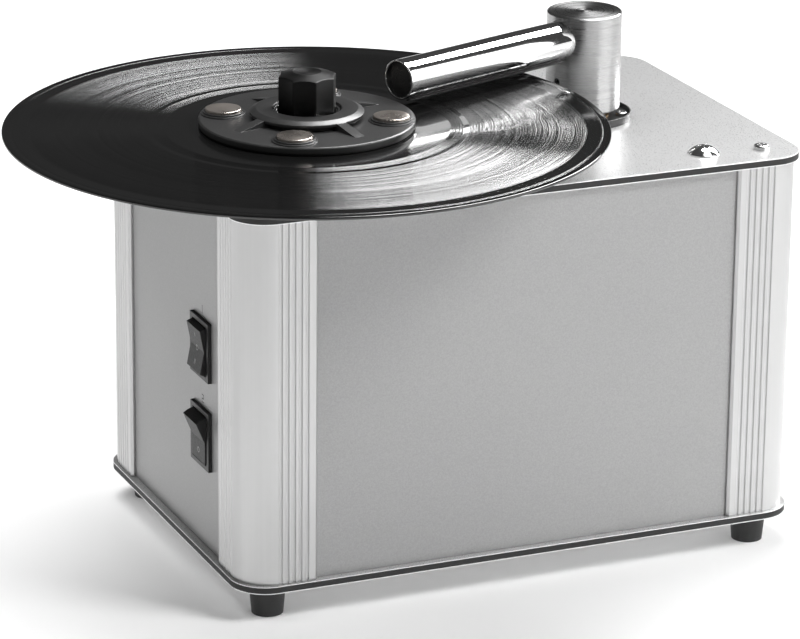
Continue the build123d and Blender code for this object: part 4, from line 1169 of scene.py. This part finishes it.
@dataclass(frozen=True)
class SuctionArm:
    """Swivelling post on its flange and spring, with the chromed suction tube and its velvet pads.

    Lengths along the arm run from the post's axis. The slit and the pads are on the tube's
    underside, from which the angles across it are measured, in degrees.
    """

    turn: float = 200.31
    tube: float = 10.21 * MM
    wall: float = 1.0 * MM
    start: float = 10.0 * MM
    end: float = 133.6 * MM
    slit: float = 4.0 * MM
    slit_start: float = 49.0 * MM
    slit_end: float = 129.0 * MM
    pad: float = 1.6 * MM
    pad_glue: float = 0.02 * MM
    pad_start: float = 22.0 * MM
    pad_end: float = 131.4 * MM
    pad_inner: float = 13.0
    pad_outer: float = 40.0
    pad_squareness: float = 0.45
    flange: float = 25.58 * MM
    flange_height: float = 4.0 * MM
    lip: float = 0.8 * MM
    floor: float = 1.4 * MM
    bore: float = 10.3 * MM
    rounding: float = 0.25 * MM
    tube_rounding: float = 0.35 * MM
    wire: float = 0.6 * MM
    coils: int = 5

    def build(self) -> None:
        """Build the tube, pads, flange and spring, and dress the rest."""
        post = middle("arm_post")
        x, y = post.x, 0
        origin = Vector((x, y, middle("arm_tube").z))
        self.tube_piece(origin)
        self.pads(origin)
        self.flange_piece(x, y)
        self.spring(x, y)
        finishes = {
            "arm_post": Turned("turned_post", x, y, grey(0.45), 0.28, 0.8),
            "post_set_screw": Plated("set_screw_steel", grey(0.1), 0.25, 0.1),
            "tube_plug": Moulded("plug_rubber", grey(0.01), 0.3),
            "suction_sleeve": Turned("turned_sleeve", x, y, grey(0.6), 0.28),
            "thrust_washer": Turned("bronze_washer", x, y, (0.5, 0.3, 0.12, 1.0), 0.25),
        }
        for node, finish in finishes.items():
            dress(node, finish.material())
        LOG.info("suction arm built")

    def point(self, origin: Vector, along: Array, across: Array, up: Array) -> Array:
        """Points at lengths along, across and above the arm's axis.

        Args:
            origin: where the tube's axis meets the post's.
            along: lengths along the axis.
            across: lengths level across it.
            up: heights over it.

        Returns:
            The points, in an array with one more dimension of 3.
        """
        c, s = math.cos(math.radians(self.turn)), math.sin(math.radians(self.turn))
        x = origin.x + along * c - across * s
        y = origin.y + along * s + across * c
        return np.stack([x, y, origin.z + up], axis=-1)

    def spring(self, x: float, y: float) -> None:
        """Coil spring: a round wire section carried along a helix.

        Args:
            x: the post's axis.
            y: the post's axis.
        """
        low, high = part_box("lift_spring")
        turn = np.linspace(0, 2 * math.pi * self.coils, self.coils * 40 + 1)[:, None]
        around = np.linspace(0, 2 * math.pi, 12, endpoint=False)
        radius = (high.x - low.x) / 2 - self.wire + self.wire * np.cos(around)
        rise = low.z + self.wire + (high.z - low.z - 2 * self.wire) * turn / turn[-1]
        up = rise + self.wire * np.sin(around)
        rings = np.stack([x + radius * np.cos(turn), y + radius * np.sin(turn), up], axis=-1)
        piece = loft("wound_spring", rings, 60)
        piece.data.materials.append(Plated("spring_steel", grey(0.5), 0.18, 0.1).material())
        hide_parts("lift_spring")
        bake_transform(piece)
        LOG.info("piece %s joins %s to %s", piece.name, Body.SWIVEL.value, Body.ARM.value)

    def tube_piece(self, origin: Vector) -> None:
        """Tube: a grid of angle by length on a cylinder, less the slit's cells, with a wall inward.

        Args:
            origin: where the tube's axis meets the post's.
        """
        half = math.asin(self.slit / 2 / self.tube)
        slit_turns = np.linspace(-half, half, 4)[:-1]
        around = np.concatenate([slit_turns, np.linspace(half, 2 * math.pi - half, 120)[:-1]])
        slit_lengths = np.linspace(self.slit_start, self.slit_end, 12)
        along = np.concatenate([[self.start], slit_lengths, [self.end]])
        s, a = np.meshgrid(along, around, indexing="ij")
        points = self.point(origin, s, self.tube * np.sin(a), -self.tube * np.cos(a)).reshape(-1, 3)
        faces = quads(len(along), len(around), False, True)
        row, column = np.divmod(np.arange(len(faces)), len(around))
        open_slit = (row >= 1) & (row < len(along) - 2) & (column < len(slit_turns))
        piece = shape("suction_tube", points, faces[~open_slit].tolist(), 35)
        solid = piece.modifiers.new("wall", "SOLIDIFY")
        solid.thickness = self.wall
        solid.offset = -1
        solid.use_even_offset = True
        bevel(piece, self.tube_rounding, 4)
        chrome = Plated("chromed_tube", grey(0.84), 0.045).material()
        finish_piece(piece, Body.ARM, "chrome", chrome, "arm_tube")

    def pads(self, origin: Vector) -> None:
        """Two pile strips: a bar section bent round the tube and run along it, with drawn-in ends.

        The section is a superellipse: its width and height are a cosine and a sine raised to a
        power below 1, which squares it, with their signs kept.

        Args:
            origin: where the tube's axis meets the post's.
        """
        psi = np.linspace(0, 2 * math.pi, 32, endpoint=False)
        wide = np.sign(np.cos(psi)) * np.abs(np.cos(psi)) ** self.pad_squareness
        tall = np.sign(np.sin(psi)) * np.abs(np.sin(psi)) ** self.pad_squareness
        t = np.linspace(-1, 1, 40)[:, None]
        ends = np.clip((1 - np.abs(t) ** 60), 0.25, 1) ** 0.5
        along = (self.pad_start + self.pad_end) / 2 + t * (self.pad_end - self.pad_start) / 2
        half = math.radians((self.pad_outer - self.pad_inner) / 2)
        parts = []
        for side in (-1, 1):
            mid = math.radians(side * (self.pad_inner + self.pad_outer) / 2)
            angle = mid + half * wide * ends
            radius = self.tube + self.pad_glue + self.pad / 2 * (1 + tall * ends * 0.98)
            across, up = radius * np.sin(angle), -radius * np.cos(angle)
            parts.append(loft("pad", self.point(origin, along + 0 * angle, across, up), 60))
        pile = Velvet("dark_pile").material()
        finish_piece(joined("pile_strips", parts), Body.ARM, "velvet", pile, "velvet_pads")

    def flange_piece(self, x: float, y: float) -> None:
        """Ring with a raised lip round a sunk floor, turned about the post's axis.

        Args:
            x: the post's axis.
            y: the post's axis.
        """
        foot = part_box("arm_flange")[0].z
        inner = self.flange - self.lip
        line = [(self.bore, 0), (self.flange, 0), (self.flange, self.flange_height)]
        line += [(inner, self.flange_height), (inner, self.floor), (self.bore, self.floor)]
        profile = [(r, foot + z) for r, z in rounded_profile(line, self.rounding)]
        piece = turned("post_flange", profile, x, y, 160)
        material = Moulded("anodised_flange", grey(0.03), roughness=0.4, depth=0.05 * MM).material()
        finish_piece(piece, Body.CHASSIS, "black_anodised", material, "arm_flange")


@dataclass(frozen=True)
class Switches:
    """Two rocker switches with printed marks: bars for the running sides and a ring for off.

    The marks stand above and below the middle by a share of the rocker's height.
    """

    ring: float = 1.3 * MM
    bar: float = 0.22 * MM
    pair: float = 0.55 * MM
    step: float = 0.28

    def dress(self) -> None:
        """Dress the housings and the rockers."""
        body = Moulded("switch_body", grey(0.012), roughness=0.42, depth=0.01 * MM).material()
        for node in ("motor_switch_housing", "vacuum_switch_housing"):
            dress(node, body)
        face = Moulded("rocker_face", grey(0.012), roughness=0.5, grain=900.0, depth=0.03 * MM)
        for node in ("motor_rocker", "vacuum_rocker"):
            low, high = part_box(node)
            y, z = (low.y + high.y) / 2, (low.z + high.z) / 2
            step = (high.z - low.z) * self.step
            marks = [(y, z - step, self.ring)]
            if node == "motor_rocker":
                marks = [(y, z, self.ring), (y, z + step, self.bar, self.ring)]
                for aside in (-self.pair, self.pair):
                    marks.append((y + aside, z - step, self.bar, self.ring))
            dress(node, replace(face, name="face_of_" + node, marks=tuple(marks)).material())
        LOG.info("switches dressed")


@dataclass(frozen=True)
class Lamp:
    """Soft rectangular lamp: a card that shows in the gloss only, or one that lights colour only.

    Places and sizes are in metres, powers in watts.
    """

    name: str
    place_at: tuple
    aim: tuple
    size: tuple
    power: float
    card: bool

    def build(self) -> None:
        """Hang the lamp."""
        data = bpy.data.lights.new(self.name, "AREA")
        data.shape = "RECTANGLE"
        data.size, data.size_y = self.size
        data.energy = self.power
        lamp = bpy.data.objects.new(self.name, data)
        bpy.context.scene.collection.objects.link(lamp)
        lamp.visible_camera = False
        lamp.visible_glossy = self.card
        lamp.visible_diffuse = not self.card
        turn = (Vector(self.aim) - Vector(self.place_at)).to_track_quat("-Z", "Y")
        lamp.matrix_world = Matrix.Translation(self.place_at) @ turn.to_matrix().to_4x4()


LAMPS = (
    Lamp("key_card", (0.82, 0.34, 1.32), (-0.05, 0.0, 0.2), (0.6, 1.75), 78.0, True),
    Lamp("right_card", (1.28, -1.11, 0.85), (0.0, 0.0, 0.15), (1.35, 1.5), 13.0, True),
    Lamp("top_card", (0.45, -0.6, 1.6), (0.1, 0.0, 0.2), (0.9, 0.8), 8.0, True),
    Lamp("front_lamp", (0.9, -1.0, 1.4), (0.1, 0.0, 0.1), (0.6, 0.6), 27.0, False),
    Lamp("left_lamp", (-1.0, -0.1, 1.7), (0.0, 0.0, 0.1), (0.5, 0.7), 9.0, False),
    Lamp("overhead", (-0.15, 0.45, 2.4), (0.0, 0.0, 0.0), (1.4, 1.4), 50.0, False),
)


@dataclass(frozen=True)
class Studio:
    """Camera, pale floor, soft lamps and a dim surround.

    Angles are in degrees. The floor adds a glow to what the camera and the gloss see of it: the
    lift, which grows to 1 far from the machine, the white for the camera, and a painted reflection
    near the machine's foot: a glow there that only the gloss sees, so the metal mirrors a brighter
    floor than the camera sees. The glow lights nothing, so the shadow stays.
    """

    lens: float = 188.682
    sensor: float = 36.0
    azimuth: float = -23.2055
    elevation: float = 18.8936
    roll: float = 0.5597
    distance: float = 2218.344 * MM
    aside: tuple = (24.955 * MM, -8.9785 * MM)
    target: tuple = (0.0, 0.0, 101.5 * MM)
    surround: float = 0.06
    reach: float = 12.0
    lift: float = 0.1
    lift_span: tuple = (0.9, 3.0)
    white: float = 0.28
    white_span: tuple = (0.27, 0.5)
    # Painted reflection: glow near the machine's foot that only glossy rays see, and the radii over
    # which it fades.
    painted_reflection: float = 0.3
    painted_reflection_span: tuple = (0.14, 0.5)

    def build(self) -> None:
        """Set up the whole studio."""
        self.camera()
        self.floor()
        self.world()
        for lamp in LAMPS:
            lamp.build()
        bpy.context.scene.view_settings.view_transform = "Standard"

    def camera(self) -> None:
        """Camera at its direction and distance from the target, rolled and moved aside in plane."""
        az, el, roll = (math.radians(v) for v in (self.azimuth, self.elevation, self.roll))
        back = Vector((math.sin(az) * math.cos(el), -math.cos(az) * math.cos(el), math.sin(el)))
        right = Vector((math.cos(az), math.sin(az), 0))
        up = back.cross(right)
        across = math.cos(roll) * right + math.sin(roll) * up
        over = -math.sin(roll) * right + math.cos(roll) * up
        data = bpy.data.cameras.new("camera")
        data.sensor_fit = "HORIZONTAL"
        data.sensor_width = self.sensor
        data.lens = self.lens
        camera = bpy.data.objects.new("camera", data)
        bpy.context.scene.collection.objects.link(camera)
        place_at = Vector(self.target) + self.distance * back
        place_at = place_at - self.aside[0] * across - self.aside[1] * over
        turn = Matrix((across, over, back)).transposed()
        camera.matrix_world = Matrix.Translation(place_at) @ turn.to_4x4()
        bpy.context.scene.camera = camera

    def floor(self) -> None:
        """Wide pale floor that shows near white to the camera and keeps the shadow."""
        points = np.array([(-1, -1, 0), (1, -1, 0), (1, 1, 0), (-1, 1, 0)], float) * self.reach
        piece = shape("floor", points, [(0, 1, 2, 3)])
        g = Graph("floor_paper")
        fibre = g.span(g.noise(90.0), *NOISE, 0.7, 0.8)
        g.set(Base_Color=grey(0.9), Roughness=fibre, Specular_IOR_Level=0.2)
        paths = g.add("LightPath").outputs
        seen = g.math("MAXIMUM", paths["Is Camera Ray"], paths["Is Glossy Ray"])
        seen = g.math("MAXIMUM", seen, paths["Is Transmission Ray"])
        r = g.radius(0.0, 0.0)
        lift = g.math("MULTIPLY", seen, g.span(r, *self.lift_span, self.lift, 1.0))
        white = g.span(r, *self.white_span, 0.0, self.white)
        white = g.math("MULTIPLY", paths["Is Camera Ray"], white)
        # Painted reflection: the floor glows near the machine's foot for glossy rays only.
        painted_reflection = g.span(r, *self.painted_reflection_span, self.painted_reflection, 0.0)
        painted_reflection = g.math("MULTIPLY", paths["Is Glossy Ray"], painted_reflection)
        strength = g.math("ADD", lift, g.math("ADD", white, painted_reflection))
        glow = g.add("Emission", Color=grey(1.0), Strength=strength)
        both = g.add("AddShader", i0=g.shader.outputs[0], i1=glow.outputs[0])
        g.link(both.outputs[0], g.output.inputs["Surface"])
        piece.data.materials.append(g.material)

    def world(self) -> None:
        """Even grey surround."""
        world = bpy.data.worlds.new("surround")
        world.use_nodes = True
        tree = world.node_tree
        back = tree.nodes["Background"]
        back.inputs["Color"].default_value = grey(1.0)
        back.inputs["Strength"].default_value = self.surround
        bpy.context.scene.world = world


def main() -> None:
    """Dress the whole machine and set up the studio."""
    logging.basicConfig(level=logging.INFO, format="%(name)s: %(message)s")
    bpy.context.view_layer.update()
    Studio().build()
    Housing().dress()
    Workings().dress()
    Turntable().build()
    Clamp().build()
    SuctionArm().build()
    Switches().dress()
    bpy.context.view_layer.update()


if __name__ == "__main__":
    main()
